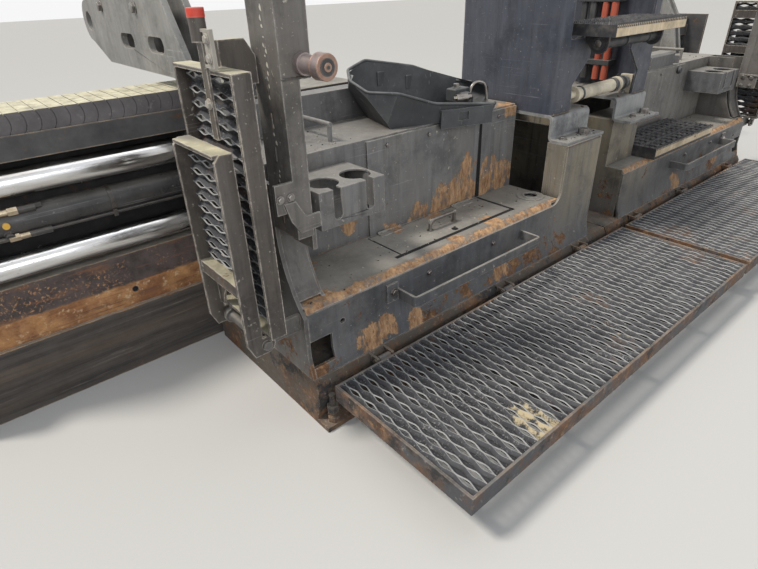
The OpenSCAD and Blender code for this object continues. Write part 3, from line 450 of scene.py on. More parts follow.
def worn_paint(name, base, other, rust=0.5, dust=0.5, chips=0.5, wear=0.6, rough=0.5,
               low_rust=0.0, streaks=0.5, tan=0.35, spots=(), pale_below=None, top=None,
               rust_edge=None, bare=None, olive=None):
    """Sprayed paint that has gone patchy, with rust, dust on top faces, chips, worn edges and painted
    shade in its corners.
    """
    g = Graph(name)
    patch = g.patches(2.3, 7, 0.68, 0.38, 0.62)
    g.colour = g.mix(patch, base, other)
    if pale_below:
        under = g.between(g.axis(g.place, 2), pale_below + 0.0005, pale_below - 0.0005)
        pale = g.mix(g.patches(7, 7, 0.7, 0.35, 0.65), (0.20, 0.205, 0.205), (0.31, 0.31, 0.30))
        g.coat(under, pale)
    # Tan smears, streaks, drips and grime
    film = g.patches(1.7, 10, 0.74, 0.44, 0.66, 0.0, tan, move=(3, 1, 7))
    g.coat(film, tinted(base, 1.35, (0.085, 0.070, 0.050)))
    if olive:
        beside = g.math("ABSOLUTE", g.axis(g.place, 0))
        zone = g.times(
            g.between(beside, olive[0], olive[1]),
            g.patches((22, 22, 3), 8, 0.70, 0.30, 0.60, 0.35, 0.95, move=(6, 1, 4)))
        zone = g.times(zone, g.between(g.axis(g.place, 2), 0.16, 0.42))
        g.coat(zone, (0.235, 0.200, 0.140))
    streak = g.noise((40, 40, 2.6), 6, 0.66)
    g.coat(g.between(streak, 0.46, 0.68, 0.0, 0.65 * streaks), tinted(base, 2.0, 0.03))
    drip = g.noise((58, 58, 3.4), 5, 0.66, (5, 2, 1))
    g.coat(g.between(drip, 0.54, 0.68, 0.0, 0.75 * streaks), tinted(base, 0.45))
    grime = g.patches(6, 10, 0.74, 0.50, 0.64, 0.0, 0.65)
    g.coat(grime, tinted(base, 0.48))
    # Painted shade in corners and recesses, in a grime colour, and dust on faces that look up
    painted_corner_shade = g.times(g.painted_corner_shade(), g.patches(16, 6, 0.7, 0.3, 0.6, 0.45, 1.0))
    g.coat(g.times(painted_corner_shade, 0.75), (0.040, 0.033, 0.028))
    up = g.upward(0.55, 0.95)
    film = g.patches(5, 8, 0.72, 0.32, 0.66, 0.30, 1.0)
    dusty = g.times(g.times(up, film), dust)
    top = top or DUST
    g.coat(dusty, g.mix(g.patches(11, 8, 0.7, 0.4, 0.6), top, tinted(top, 0.72)))
    # Rust in patches, more of it low down and on edges, and rust at the given spots
    height = g.between(g.axis(g.place, 2), 0.42, 0.12, 0.0, 0.16 * low_rust)
    field = g.plus(g.noise(7, 10, 0.74), height)
    edge = g.edges()
    field = g.plus(field, g.times(edge, 0.05))
    rusty = g.between(field, 0.71 - 0.13 * rust, 0.725 - 0.13 * rust)
    g.coat(rusty, rust_colour(g))
    share = 0.0
    for spot in spots:
        share = g.most(share, g.near(spot[:3], spot[3] / 1000, spot[3] / 1000 * 0.75))
    if rust_edge:
        y = g.axis(g.place, 1)
        share = g.most(share, g.between(y, REAR + rust_edge + 0.004, REAR + rust_edge - 0.012))
    if spots or rust_edge:
        tuft = g.noise((34, 34, 11), 10, 0.80, (3, 8, 1))
        haze = g.times(share, g.between(tuft, 0.30, 0.52, 0.0, 0.7))
        g.coat(haze, (0.085, 0.056, 0.038))
        cover = g.plus(tuft, g.times(share, 0.20))
        share = g.times(g.between(share, 0.0, 0.2), g.between(cover, 0.60, 0.69))
        tone = g.mix(
            g.patches((60, 60, 18), 8, 0.76, 0.36, 0.62), (0.170, 0.082, 0.038), (0.50, 0.310, 0.165))
        g.coat(share, tone)
        rusty = g.most(rusty, share)
    # Chips, scratches and worn edges
    fleck = g.patches(62, 5, 0.66, 0.655, 0.68, 0.0, chips)
    fine = g.patches(170, 3, 0.6, 0.69, 0.72, 0.0, chips)
    g.coat(g.most(fleck, fine), (0.40, 0.37, 0.32))
    lines = g.noise((2.5, 2.5, 190), 2, 0.5, (1, 6, 2))
    lines = g.times(g.between(lines, 0.66, 0.69), g.patches(4.2, 4, 0.6, 0.52, 0.60, 0.0, 0.7))
    g.coat(lines, tinted(base, 1.7, 0.09))
    ragged = g.times(edge, g.patches(38, 5, 0.7, 0.40, 0.58, 0.15, 1.0))
    worn = g.math("MULTIPLY", ragged, wear, clamp=True)
    g.coat(worn, bare or BARE)
    # Rust and dust are dull
    shine = g.patches(14, 6, 0.66, 0.34, 0.66, rough - 0.14, rough + 0.18)
    shine = g.most(shine, g.times(rusty, 0.86))
    shine = g.most(shine, g.times(dusty, 0.80))
    grain = g.plus(g.times(g.noise(150, 5, 0.75), 0.45), field)
    g.bump(grain, 0.40, 0.0018)
    return g.finish(shine)


def crusty_steel(name, base, rust=0.75, crust=0.6, pale=0.4):
    """Bare steel that meets hot asphalt: rust, black crust and pale dust in its pits."""
    g = Graph(name)
    g.colour = g.mix(
        g.patches(5, 8, 0.7, 0.62 - 0.3 * rust, 0.72 - 0.2 * rust), base, rust_colour(g, 18))
    black = g.patches(11, 8, 0.72, 0.66 - 0.2 * crust, 0.72 - 0.2 * crust)
    g.coat(black, (0.022, 0.021, 0.021))
    pits = g.patches(60, 5, 0.7, 0.60, 0.68, 0.0, pale)
    g.coat(pits, DUST)
    up = g.upward(0.5, 0.95)
    g.coat(g.times(up, g.patches(8, 6, 0.7, 0.35, 0.7, 0.05, 0.6 * pale + 0.2)), DUST)
    worn = g.times(g.edges(), g.patches(30, 5, 0.7, 0.45, 0.65, 0.0, 0.7))
    g.coat(worn, (0.40, 0.30, 0.22))
    g.bump(g.plus(g.noise(45, 7, 0.75), g.times(black, 0.4)), 0.6, 0.0035)
    return g.finish(g.shine(20, 0.62, 0.92))


def hard_chrome(name):
    """Chromed steel with fine rings along it and specks of dirt."""
    g = Graph(name)
    smear = g.patches((2.5, 26, 26), 6, 0.65, 0.40, 0.72)
    g.colour = g.mix(smear, (0.72, 0.73, 0.75), (0.42, 0.39, 0.34))
    spots = g.patches(70, 4, 0.65, 0.66, 0.72, 0.0, 0.75)
    g.coat(spots, (0.14, 0.10, 0.07))
    shine = g.most(g.patches(9, 5, 0.6, 0.3, 0.75, 0.07, 0.34), g.times(spots, 0.6))
    g.bump(g.noise((4, 300, 300), 3, 0.5), 0.05, 0.0005)
    return g.finish(shine, metallic=1.0)


def plain_metal(name, base, rough, stain=0.4, stain_colour=RUST_MID, metallic=1.0, scale=30):
    """One metal or plastic with stains in patches and paler edges."""
    g = Graph(name)
    g.colour = g.mix(g.patches(scale, 6, 0.7, 0.45, 0.72, 0.0, stain), base, stain_colour)
    worn = g.times(g.edges(0.004), 0.5)
    g.coat(worn, tuple(min(1, c * 1.5 + 0.05) for c in base))
    g.bump(g.noise(scale * 3, 4, 0.7), 0.2, 0.001)
    return g.finish(g.shine(scale * 0.6, rough - 0.12, rough + 0.12), metallic)


def dusty_plastic(name, base, dust=0.5, rough=0.55):
    """Dark plastic or rubber under dust."""
    g = Graph(name)
    up = g.upward(-0.2, 0.9, 0.15, 1.0)
    film = g.patches(12, 7, 0.7, 0.32, 0.72, 0.0, 1.0)
    g.colour = g.mix(g.times(g.times(up, film), dust), base, (0.30, 0.31, 0.31))
    scratch = g.patches((150, 14, 40), 3, 0.5, 0.66, 0.73, 0.0, 0.35)
    g.coat(scratch, (0.25, 0.25, 0.25))
    worn = g.times(g.edges(0.004), 0.35)
    g.coat(worn, (0.34, 0.34, 0.33))
    g.bump(g.noise(120, 4, 0.6), 0.2, 0.001)
    return g.finish(g.shine(10, rough - 0.1, rough + 0.2))


def steel_mesh(name):
    """Expanded metal: dark bluish faces with grit and stains, painted shade on the strands' lower
    faces, and ridges worn pale that also carry a painted highlight.
    """
    g = Graph(name)
    ridge = g.node("Attribute", attribute_name="ridge").outputs["Fac"]
    top = g.between(ridge, 0.87, 0.99)
    g.colour = g.mix(g.patches(6, 5, 0.65, 0.35, 0.65), (0.030, 0.031, 0.036), (0.060, 0.062, 0.069))
    # Painted shade: faces away from the ridges, and the valley dirt, darkened towards black
    low = g.between(ridge, 0.5, 0.0)
    g.coat(g.times(low, 0.5), (0.012, 0.011, 0.012))
    g.coat(g.patches(4, 8, 0.7, 0.57, 0.68, 0.0, 0.6), rust_colour(g, 30))
    grit = g.patches(170, 4, 0.7, 0.57, 0.64, 0.0, 0.75)
    g.coat(g.times(grit, g.patches(7, 5, 0.65, 0.40, 0.62, 0.15, 1.0)), (0.30, 0.30, 0.29))
    sand = g.patches(3.3, 7, 0.75, 0.655, 0.70, 0.0, 0.8)
    spilt = g.most(g.near((-1183, -475, 156), 0.055, 0.05), g.near((-1204, -415, 156), 0.036, 0.035))
    spilt = g.times(spilt, g.patches(48, 6, 0.7, 0.40, 0.50))
    g.coat(g.most(sand, spilt), (0.42, 0.35, 0.225))
    # Ridges worn pale; the pale also stands for a painted highlight along them
    worn = g.times(top, g.patches(25, 5, 0.7, 0.30, 0.55, 0.45, 1.0))
    g.coat(worn, (0.31, 0.31, 0.305))
    g.bump(g.noise(220, 4, 0.7), 0.4, 0.001)
    return g.finish(g.shine(18, 0.55, 0.85), specular=0.35)


def extender_skin(name):
    """Extender: crust and smears low down, a band of orange rust, a dark ledge and dark paint above."""
    g = Graph(name)
    z = g.axis(g.place, 2)
    rough_z = g.plus(z, g.patches(16, 6, 0.7, 0.2, 0.8, -0.007, 0.007))
    # Low part: smears drawn along it
    smear = g.noise((1.6, 30, 34), 6, 0.7)
    body = g.mix(g.between(smear, 0.38, 0.62), (0.030, 0.026, 0.024), (0.076, 0.066, 0.058))
    tint = g.noise((0.9, 14, 16), 8, 0.72, (7, 2, 3))
    body = g.mix(g.between(tint, 0.50, 0.64, 0.0, 0.55), body, (0.115, 0.082, 0.058))
    body = g.mix(
        g.patches((3, 60, 70), 5, 0.7, 0.60, 0.70, 0.0, 0.5, move=(4, 0, 0)), body, (0.22, 0.19, 0.16))
    body = g.mix(g.patches(8, 8, 0.72, 0.60, 0.68, 0.0, 0.55), body, rust_colour(g))
    # Band of orange rust
    band = g.mix(g.patches(9, 9, 0.74, 0.38, 0.62), (0.19, 0.078, 0.030), (0.50, 0.27, 0.11))
    band = g.mix(
        g.patches((2.4, 60, 90), 7, 0.74, 0.52, 0.60, 0.0, 0.7, move=(1, 3, 2)), band,
        (0.34, 0.155, 0.060))
    band = g.mix(
        g.patches((3, 40, 60), 6, 0.7, 0.56, 0.66, 0.0, 0.8, move=(9, 0, 0)), band, (0.10, 0.05, 0.03))
    band = g.mix(g.patches(40, 6, 0.7, 0.56, 0.66, 0.0, 0.6), band, (0.64, 0.48, 0.30))
    # Dark ledge with rusty specks
    slope = g.mix(g.patches(12, 6, 0.7, 0.4, 0.6), (0.040, 0.030, 0.028), (0.085, 0.065, 0.060))
    speck = g.times(g.patches(120, 6, 0.75, 0.56, 0.60), g.patches(4.5, 5, 0.7, 0.47, 0.60))
    slope = g.mix(speck, slope, (0.42, 0.22, 0.10))
    slope = g.mix(
        g.patches((5, 30, 30), 7, 0.74, 0.54, 0.64, 0.0, 0.7, move=(2, 5, 1)), slope,
        (0.19, 0.085, 0.038))
    paint = g.mix(g.patches(6, 6, 0.7, 0.35, 0.65), (0.040, 0.040, 0.044), (0.085, 0.082, 0.080))
    paint = g.mix(g.patches(14, 8, 0.72, 0.60, 0.66, 0.0, 0.7), paint, rust_colour(g))
    # The four laid by height
    in_band = g.times(g.between(rough_z, 0.219, 0.226), g.between(rough_z, 0.304, 0.297))
    g.colour = g.mix(g.between(rough_z, 0.296, 0.304), body, slope)
    g.coat(in_band, band)
    g.coat(g.between(z, 0.398, 0.402), paint)
    up = g.upward(0.5, 0.95)
    g.coat(g.times(up, g.patches(7, 6, 0.7, 0.35, 0.65, 0.35, 0.9)), DUST)
    worn = g.times(g.edges(0.007), g.patches(30, 5, 0.7, 0.35, 0.6, 0.1, 0.9))
    g.coat(worn, (0.50, 0.38, 0.26))
    g.bump(g.plus(g.noise(45, 7, 0.75), g.times(in_band, g.noise(16, 6, 0.7))), 0.55, 0.003)
    return g.finish(g.shine(20, 0.58, 0.9))


def chain_skin(name):
    """Hose chain: grey plastic with a thick pale layer of sand and dust on top."""
    g = Graph(name)
    g.colour = g.mix(g.patches(9, 6, 0.7, 0.35, 0.65), (0.080, 0.074, 0.078), (0.135, 0.125, 0.125))
    g.coat(g.patches(60, 4, 0.6, 0.62, 0.70, 0.0, 0.5), (0.22, 0.21, 0.20))
    up = g.upward(0.35, 0.85)
    sand = g.mix(g.patches(34, 7, 0.75, 0.38, 0.62), (0.40, 0.37, 0.27), (0.66, 0.62, 0.46))
    g.coat(g.times(up, g.patches(11, 7, 0.7, 0.30, 0.45, 0.4, 1.0)), sand)
    g.bump(g.noise(60, 6, 0.75), 0.5, 0.003)
    return g.finish(g.shine(20, 0.6, 0.9))


def crumb_skin(name):
    """Stones and crumbs of asphalt, from black to pale, a colour for each."""
    g = Graph(name)
    g.colour = g.mix(g.patches(70, 2, 0.5, 0.45, 0.60), (0.035, 0.033, 0.032), (0.30, 0.28, 0.25))
    g.coat(g.patches(55, 2, 0.5, 0.58, 0.66, move=(3, 1, 2)), (0.52, 0.46, 0.34))
    g.bump(g.noise(300, 4, 0.7), 0.4, 0.001)
    return g.finish(g.patches(100, 3, 0.6, 0.3, 0.7, 0.7, 0.95))


# Patches of rust: x, y and z as at() takes them and the radius
WALL_RUST = (
    (-735, 305, 400, 80), (-650, 305, 425, 88), (-635, 305, 500, 56), (-530, 305, 420, 70),
    (-430, 305, 420, 74), (-505, 305, 480, 50), (-880, 305, 385, 50), (-1010, 305, 382, 36),
    (-1180, 305, 440, 36), (-400, 322, 694, 56))
SKIRT_RUST = (
    (-1310, 68, 195, 52), (-1240, 68, 215, 46), (-1130, 68, 175, 44), (-700, 68, 200, 44),
    (700, 68, 190, 60), (1180, 68, 220, 50))
SHELF_RUST = (
    (-1440, 90, 374, 55), (-1330, 82, 374, 36), (-1380, 290, 376, 45), (-1000, 296, 376, 34),
    (-820, 290, 376, 34), (-700, 112, 374, 40), (-900, 106, 374, 34))

LOOKS = {
    "dark_paint": worn_paint(
        "dark paint", (0.070, 0.067, 0.065), (0.118, 0.111, 0.103), rust=0.42, dust=0.7, chips=0.6,
        low_rust=0.9),
    "skirt": worn_paint(
        "skirt paint", (0.072, 0.075, 0.083), (0.118, 0.116, 0.112), rust=0.36, dust=0.8, chips=0.7,
        low_rust=1.0, wear=0.8, spots=SKIRT_RUST, olive=(0.47, 0.30)),
    "wall": worn_paint(
        "wall paint", (0.112, 0.113, 0.118), (0.170, 0.164, 0.154), rust=0.30, dust=0.5, chips=0.9,
        wear=0.8, rough=0.55, spots=WALL_RUST),
    "block": worn_paint(
        "centre block paint", (0.080, 0.076, 0.072), (0.135, 0.125, 0.112), rust=0.40, dust=0.7,
        chips=0.7, low_rust=0.9, tan=0.9, streaks=0.8, olive=(0.47, 0.30)),
    "far_wall": worn_paint(
        "far wall paint", (0.130, 0.125, 0.118), (0.20, 0.19, 0.17), rust=0.30, dust=0.9, chips=0.7,
        rough=0.5),
    "post": worn_paint(
        "post paint", (0.088, 0.082, 0.077), (0.135, 0.126, 0.115), rust=0.38, dust=0.8, chips=0.9,
        wear=1.0, tan=0.5),
    "leaf": worn_paint(
        "step paint", (0.046, 0.039, 0.035), (0.082, 0.071, 0.062), rust=0.54, dust=1.0, chips=0.8,
        wear=1.3, streaks=0.8, tan=0.55, top=(0.66, 0.61, 0.43), bare=(0.60, 0.55, 0.48)),
    "blue_paint": worn_paint(
        "tower paint", (0.034, 0.040, 0.058), (0.058, 0.064, 0.082), rust=0.12, dust=0.6, chips=0.4,
        wear=0.6, rough=0.46, tan=0.2, pale_below=0.6695),
    "worn_paint": worn_paint(
        "worn paint", (0.150, 0.142, 0.130), (0.235, 0.222, 0.200), rust=0.46, dust=0.6, chips=0.9,
        wear=0.9, rough=0.60, low_rust=0.5, streaks=0.2, tan=0.5, spots=SHELF_RUST, rust_edge=0.098),
    "pale_paint": worn_paint(
        "tow bracket paint", (0.165, 0.165, 0.160), (0.24, 0.232, 0.215), rust=0.22, dust=0.7,
        chips=0.9, wear=0.9, rough=0.55),
    "rusty_steel": crusty_steel("rusty steel", (0.070, 0.058, 0.047), rust=0.55),
    "walkway_steel": crusty_steel(
        "walkway frame", (0.060, 0.062, 0.068), rust=0.6, crust=0.5, pale=0.5),
    "mesh": steel_mesh("expanded metal"),
    "mesh_black": plain_metal(
        "serrated tread", (0.026, 0.027, 0.031), 0.50, stain=0.5, stain_colour=(0.16, 0.14, 0.12),
        metallic=0.0),
    "extender": extender_skin("extender"),
    "chain": chain_skin("hose chain"),
    "crumbs": crumb_skin("asphalt crumbs"),
    "latch": worn_paint(
        "latch paint", (0.25, 0.23, 0.20), (0.34, 0.32, 0.28), rust=0.6, dust=0.9, chips=0.5, wear=0.8,
        top=(0.60, 0.56, 0.42)),
    "yellowed": dusty_plastic("yellowed paint", (0.58, 0.54, 0.44)),
    "bolt_steel": plain_metal(
        "bolts", (0.26, 0.25, 0.24), 0.42, stain=0.7, stain_colour=(0.10, 0.06, 0.04)),
    "line_steel": plain_metal(
        "oily pipes", (0.055, 0.052, 0.050), 0.34, stain=0.5, stain_colour=(0.14, 0.11, 0.08),
        metallic=0.3),
    "brass": plain_metal(
        "plated fittings", (0.44, 0.37, 0.27), 0.34, stain=0.6, stain_colour=(0.12, 0.09, 0.05)),
    "yellow": worn_paint(
        "yellow plug", (0.62, 0.33, 0.03), (0.70, 0.42, 0.06), rust=0.1, dust=0.2, chips=0.1,
        streaks=0.0),
    "red": worn_paint(
        "red cap", (0.50, 0.035, 0.02), (0.58, 0.06, 0.03), rust=0.05, dust=0.3, chips=0.2,
        streaks=0.0),
    "weld": plain_metal(
        "weld beads", (0.075, 0.070, 0.066), 0.5, stain=0.8, stain_colour=(0.22, 0.12, 0.06),
        metallic=0.2, scale=60),
    "hose": dusty_plastic("rubber hose", (0.020, 0.020, 0.021), dust=0.7, rough=0.5),
    "red_hose": dusty_plastic("red hose", (0.40, 0.075, 0.035), dust=0.3, rough=0.5),
    # Painted shade: flat black for gaps and holes that are dark
    "painted_shade": dusty_plastic("shadow gap", (0.002, 0.002, 0.002), dust=0.0, rough=0.95),
    "dust": plain_metal(
        "pale dust", (0.46, 0.47, 0.46), 0.9, stain=0.7, stain_colour=(0.22, 0.22, 0.22), metallic=0.0),
    "chrome": hard_chrome("hard chrome"),
    "ram_paint": worn_paint(
        "cylinder paint", (0.028, 0.028, 0.030), (0.045, 0.043, 0.042), rust=0.25, dust=0.35, chips=0.3,
        wear=0.5, rough=0.38, streaks=0.2),
    "worn_steel": plain_metal("worn steel", (0.45, 0.42, 0.39), 0.36),
    "knob_steel": plain_metal(
        "lock knob", (0.34, 0.29, 0.285), 0.42, stain=0.6, stain_colour=(0.19, 0.10, 0.07),
        metallic=0.7),
    "copper": plain_metal(
        "handled grip", (0.36, 0.235, 0.185), 0.46, stain=0.7, stain_colour=(0.13, 0.075, 0.055),
        metallic=0.75),
    "cream_paint": worn_paint(
        "cream paint", (0.56, 0.50, 0.38), (0.62, 0.57, 0.46), rust=0.15, dust=0.2, chips=0.1, wear=0.3,
        streaks=0.1),
    "step_front": worn_paint(
        "step front", (0.50, 0.39, 0.25), (0.60, 0.49, 0.34), rust=0.75, dust=0.4, chips=0.3, wear=0.6,
        streaks=0.4),
    "black_plastic": dusty_plastic("dusty plastic", (0.030, 0.032, 0.035)),
}

# Nodes whose look differs from their record slot's
NODE_LOOKS = {
    "centre_step": "mesh_black", "shelf_step": "mesh_black", "upper_left": "wall",
    "upper_right": "far_wall", "cup_holder_left": "wall", "cup_holder_right": "skirt"}
PAIR_LOOKS = {
    "tower": "blue_paint", "extender": "extender", "chain": "chain", "knob": "knob_steel",
    "grab_bar": "skirt", "skirt": "skirt", "centre_block": "block", "post": "post", "rack": "leaf",
    "end_step": "leaf", "tow": "pale_paint"}
for part, look in PAIR_LOOKS.items():
    NODE_LOOKS[part + "_left"] = NODE_LOOKS[part + "_right"] = look


def millimetres(node):
    """A node's box with x, y and z as at() takes them."""
    low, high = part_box(node)
    return (
        [low.x * 1000, (low.y - REAR) * 1000, low.z * 1000],
        [high.x * 1000, (high.y - REAR) * 1000, high.z * 1000])


def upright_mesh(pile, low, high, x, away):
    """Expanded metal that stands at x in a box and faces away."""

    def place(u, v, h):
        return at(x + away * h, low[1] + v, low[2] + u)

    expanded_metal(pile, high[2] - low[2], high[1] - low[1], place)


def level_mesh(pile, low, high, z):
    """Expanded metal that lies at height z in a box."""

    def place(u, v, h):
        return at(low[0] + u, low[1] + v, z + h)

    expanded_metal(pile, high[0] - low[0], high[1] - low[1], place)


def add_decks():
    """Expanded metal in place of the plain decks of walkways, racks and end steps."""
    for side, away in SIDES:
        low, high = millimetres("walk_deck_" + side)
        pile = Pile("walkway_mesh_" + side, "walkway_" + side, "mesh", "walkway_steel")
        level_mesh(pile, low, high, (low[2] + high[2]) / 2 - 1)
        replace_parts(pile.done(), "walk_deck_" + side)
        low, high = millimetres("step_deck_" + side)
        pile = Pile("end_step_mesh_" + side, "end_step_" + side, "mesh", "walkway_steel")
        upright_mesh(pile, low, high, (low[0] + high[0]) / 2, away)
        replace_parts(pile.done(), "step_deck_" + side)
    low, high = millimetres("rack_decks")
    pile = Pile("rack_mesh", "main", "mesh", "walkway_steel")
    upright_mesh(pile, low, high, low[0] + 3, -1)
    upright_mesh(pile, low, high, high[0] - 3, 1)
    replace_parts(pile.done(), "rack_decks")


# Places of the details, in millimetres as at() takes them
END_X = 1524.0
EXTENDER_END = 2286.0
LATCH_X = 1641
SKIRT_Y = 68.0
PANEL_Y = 305.0
PANEL_GAP = (-574.0, -562.0)
SHELF_Z = 375.0
DECK_Z = 694.0
POST_Y = (47.0, 156.0)
TUBE_Y = {"left": 735.0, "right": 835.0}
RAM_Z = 565.0
RAM_R = 40.0
STEP_TOP = 965.0
CENTRE_TEETH = 40
SHELF_TEETH = 44
BUCKLE_Z = 712.0
BUCKLE_R = 25.0
SOCKET_AT = (413, 166)
SOCKET_RIM = 52
SOCKET_BORE = 25
TRAY_AT = (-896, 334, 694)
TRAY_TURN = math.radians(17)


# Bolts of each half: the way that they face, size, height, washer and places
BOLTS = (
    ("rear", 8, 5, True, ((1063, SKIRT_Y, 320), (753, SKIRT_Y, 319), (1560, 47, 694), (1533, 47, 694))),
    ("rear", 11, 7, True, ((1217, 60, 314),)),
    ("rear", 7, 4, False, tuple((x, PANEL_Y, 664) for x in (1020, 835, 650, 470))),
    ("in", 9, 5, True, tuple((1468, y, z) for z in (552, 596) for y in (84, 126))),
    ("up", 12, 8, True, tuple((240, y, 668) for y in (200, 380, 540))),
    ("in", 9, 6, True, tuple((x, 664, z) for x in (1465, 905) for z in (450, 690))),
    ("out", 15, 9, True, ((1500, 620, 860), (1500, 900, 1060), (1500, 1240, 1060))),
    ("in", 15, 9, True, ((1420, 620, 860), (1420, 900, 1060), (1420, 1240, 1060))),
    ("out", 11, 6, True, ((END_X, 230, 640), (END_X, 450, 640), (END_X, 590, 480), (END_X, 360, 480))),
    ("in", 14, 8, True, ((205, 100, 900),)), ("out", 14, 8, True, ((205, 100, 900),)),
    ("out", 9, 6, True, tuple((20, 668, z) for z in (430, 560, 690))),)
BRACKET_BOLTS = {-1: ((320, 12, 8), (188, 19, 17)), 1: ((300, 19, 17), (200, 12, 8))}


def add_bolts():
    """Hexagon heads on skirts, panels, brackets and carriers of both halves, and on the extenders."""
    pile = Pile("bolts_main", "main", "bolt_steel", "worn_steel")
    for side, sign in SIDES:
        ways = {"rear": (0, -1, 0), "up": (0, 0, 1), "out": (sign, 0, 0), "in": (-sign, 0, 0)}
        for way, size, height, washer, places in BOLTS:
            for x, y, z in places:
                pile.bolt((sign * x, y, z), ways[way], size, height, washer)
        for x, size, height in BRACKET_BOLTS[sign]:
            pile.bolt((sign * x, 116, 584), ways["up"], size, height)
    pile.done(bevel=0.0005)
    for side, sign in SIDES:
        pile = Pile("bolts_extender_" + side, "extender_" + side, "bolt_steel", "worn_steel")
        y = TUBE_Y[side]
        end, cap, ram_cap = sign * EXTENDER_END, sign * (EXTENDER_END + 8), sign * (EXTENDER_END + 6)
        for bolt_y in (720, 860, 1000):
            for z in (80, 200):
                pile.bolt((end, bolt_y, z), (sign, 0, 0), 12, 7)
        for z in (440, 668):
            pile.rod((end, y, z), (cap, y, z), 30, sides=28)
            pile.bolt((cap, y, z), (sign, 0, 0), 19, 8, washer=False)
        pile.rod((end, y, RAM_Z), (ram_cap, y, RAM_Z), 24, sides=24)
        pile.bolt((ram_cap, y, RAM_Z), (sign, 0, 0), 15, 8, washer=False)
        pile.done(bevel=0.0005)


def add_welds():
    """Weld beads along the seams that show."""
    pile = Pile("welds_main", "main", "weld", "dark_paint")
    for sign in (-1, 1):
        out = sign * END_X
        for z in range(612, 930, 74):
            pile.weld((out + sign * 0.5, 103, z), (out + sign * 0.5, 103, z + 34), 3.4)
        for y in POST_Y:
            pile.weld((out, y, 940), (out - sign * 74, y, 940), 3.0)
        pile.weld((out - sign * 12, 79, 368), (out - sign * 12, 300, 376), 3.0)
        pile.weld((sign * 1512, 313, SHELF_Z), (sign * 366, 313, SHELF_Z), 3.4)
        for x in (346, 138):
            pile.weld((sign * x, 155, 668), (sign * x, 170, 672), 3.0)
        pile.weld((sign * 350, 154.5, 669), (sign * 240, 154.5, 669), 3.4)
        pile.weld((sign * 356, SKIRT_Y - 0.5, 571), (sign * 140, SKIRT_Y - 0.5, 571), 3.0)
        for hinge in (1300, 716, 230):
            for off in (-33, 33):
                pile.weld((sign * hinge + off, 33, 137), (sign * hinge + off, 33, 157), 3.0)
        for y in (85, 97, 245, 257):
            pile.weld((out + sign * 1, y, 314), (out + sign * 1, y, 358), 3.0)
    pile.done()


def add_cylinder_lines():
    """Ports, fittings and pipes of the extension cylinders."""
    for side, sign in SIDES:
        y = TUBE_Y[side]
        lines = Pile("cylinder_lines_" + side, "extender_" + side, "line_steel", "worn_steel")
        brass = Pile("cylinder_fittings_" + side, "extender_" + side, "brass", "worn_steel")
        top = (y - 26, RAM_Z + 36)
        low = (y - 33, RAM_Z - 33)
        for place, end in ((top, 1990), (low, 1985)):
            lines.pipe(rounded([(sign * 2262, *place), (sign * end, *place)], 10), 7, sides=12)
        for pile, x0, x1, place, radius, sides in (
                (brass, 2040, 2012, top, 10, 16), (brass, 2012, 1988, top, 12, 6),
                (lines, 1988, 1946, top, 11, 16), (brass, 2030, 2004, low, 11, 6),
                (brass, 2004, 1980, low, 9, 16), (lines, 1980, 1925, low, 10, 16)):
            pile.rod((sign * x0, *place), (sign * x1, *place), radius, sides=sides)
        lines.slab(sign, 1956, 1930, top[0] - 4, top[0] + 16, top[1] - 2, top[1] + 10)
        long_pipe = [
            (sign * 1930, *low), (sign * 1250, *low), (sign * 870, y - 30, RAM_Z - 33),
            (sign * 862, y - 22, RAM_Z - 30)]
        lines.pipe(rounded(long_pipe, 12), 5, sides=10)
        for x in (1760, 1420, 1080):
            lines.band(sign * x, sign * (x - 12), y, RAM_Z, RAM_R + 2.5, RAM_R)
            lines.slab(sign, x, x - 12, y - 42, y - 24, RAM_Z - 42, RAM_Z - 22)
        lines.done(bevel=0.0005)
        brass.done(bevel=0.0006)
        plug = Pile("cylinder_plug_" + side, "extender_" + side, "yellow", "cream_paint")
        plug.rod(
            (sign * 2026, y - RAM_R + 2, RAM_Z + 6), (sign * 2026, y - RAM_R - 7, RAM_Z + 6), 9,
            sides=20)
        plug.done(bevel=0.0008)


def add_treads():
    """Teeth and fronts of the centre step and the shelf step."""
    teeth = Pile("step_teeth", "main", "mesh_black", "walkway_steel")
    fronts = Pile("step_fronts", "main", "step_front", "cream_paint")
    low, high = millimetres("centre_step")
    rear = low[1]
    for i in range(CENTRE_TEETH):
        x = low[0] + 8 + (high[0] - low[0] - 16) * i / (CENTRE_TEETH - 1)
        for j in range(9):
            y = rear + 9 + 183 * j / 8 + rng.uniform(-1, 1)
            teeth.rod(
                (x, y, STEP_TOP - 0.5), (x + rng.uniform(-1, 1), y, STEP_TOP + 6), 5.0, 2.0, sides=6)
    fronts.box((low[0] + 3, rear - 2.5, STEP_TOP - 37), (high[0] - 3, rear + 0.5, STEP_TOP - 1))
    for i in range(CENTRE_TEETH):
        x = low[0] + 6 + (high[0] - low[0] - 12) * i / (CENTRE_TEETH - 1)
        teeth.rod((x, rear - 1, STEP_TOP - 10), (x + 2, rear - 1, STEP_TOP + 6), 4.2, 2.6, sides=6)
    for x in (-208, -40, 130):
        teeth.rod((x, 100, 900), (x + 9, 100, 900), 22.5, sides=28)
    low, high = millimetres("shelf_step")
    front, top = low[1], high[2]
    for i in range(SHELF_TEETH):
        x = low[0] + 8 + (high[0] - low[0] - 16) * i / (SHELF_TEETH - 1)
        for j in range(10):
            y = front + 8 + (high[1] - front - 16) * j / 9
            teeth.rod((x, y, top - 0.5), (x + rng.uniform(-1, 1), y, top + 5.5), 4.4, 1.8, sides=6)
        teeth.rod((x, front - 1, top - 8), (x + 2, front - 1, top + 5), 4.0, 2.4, sides=6)
    fronts.box((low[0] + 3, front - 2.5, top - 36), (high[0] - 3, front + 0.5, top - 2))
    teeth.done()
    fronts.done(bevel=0.0006)


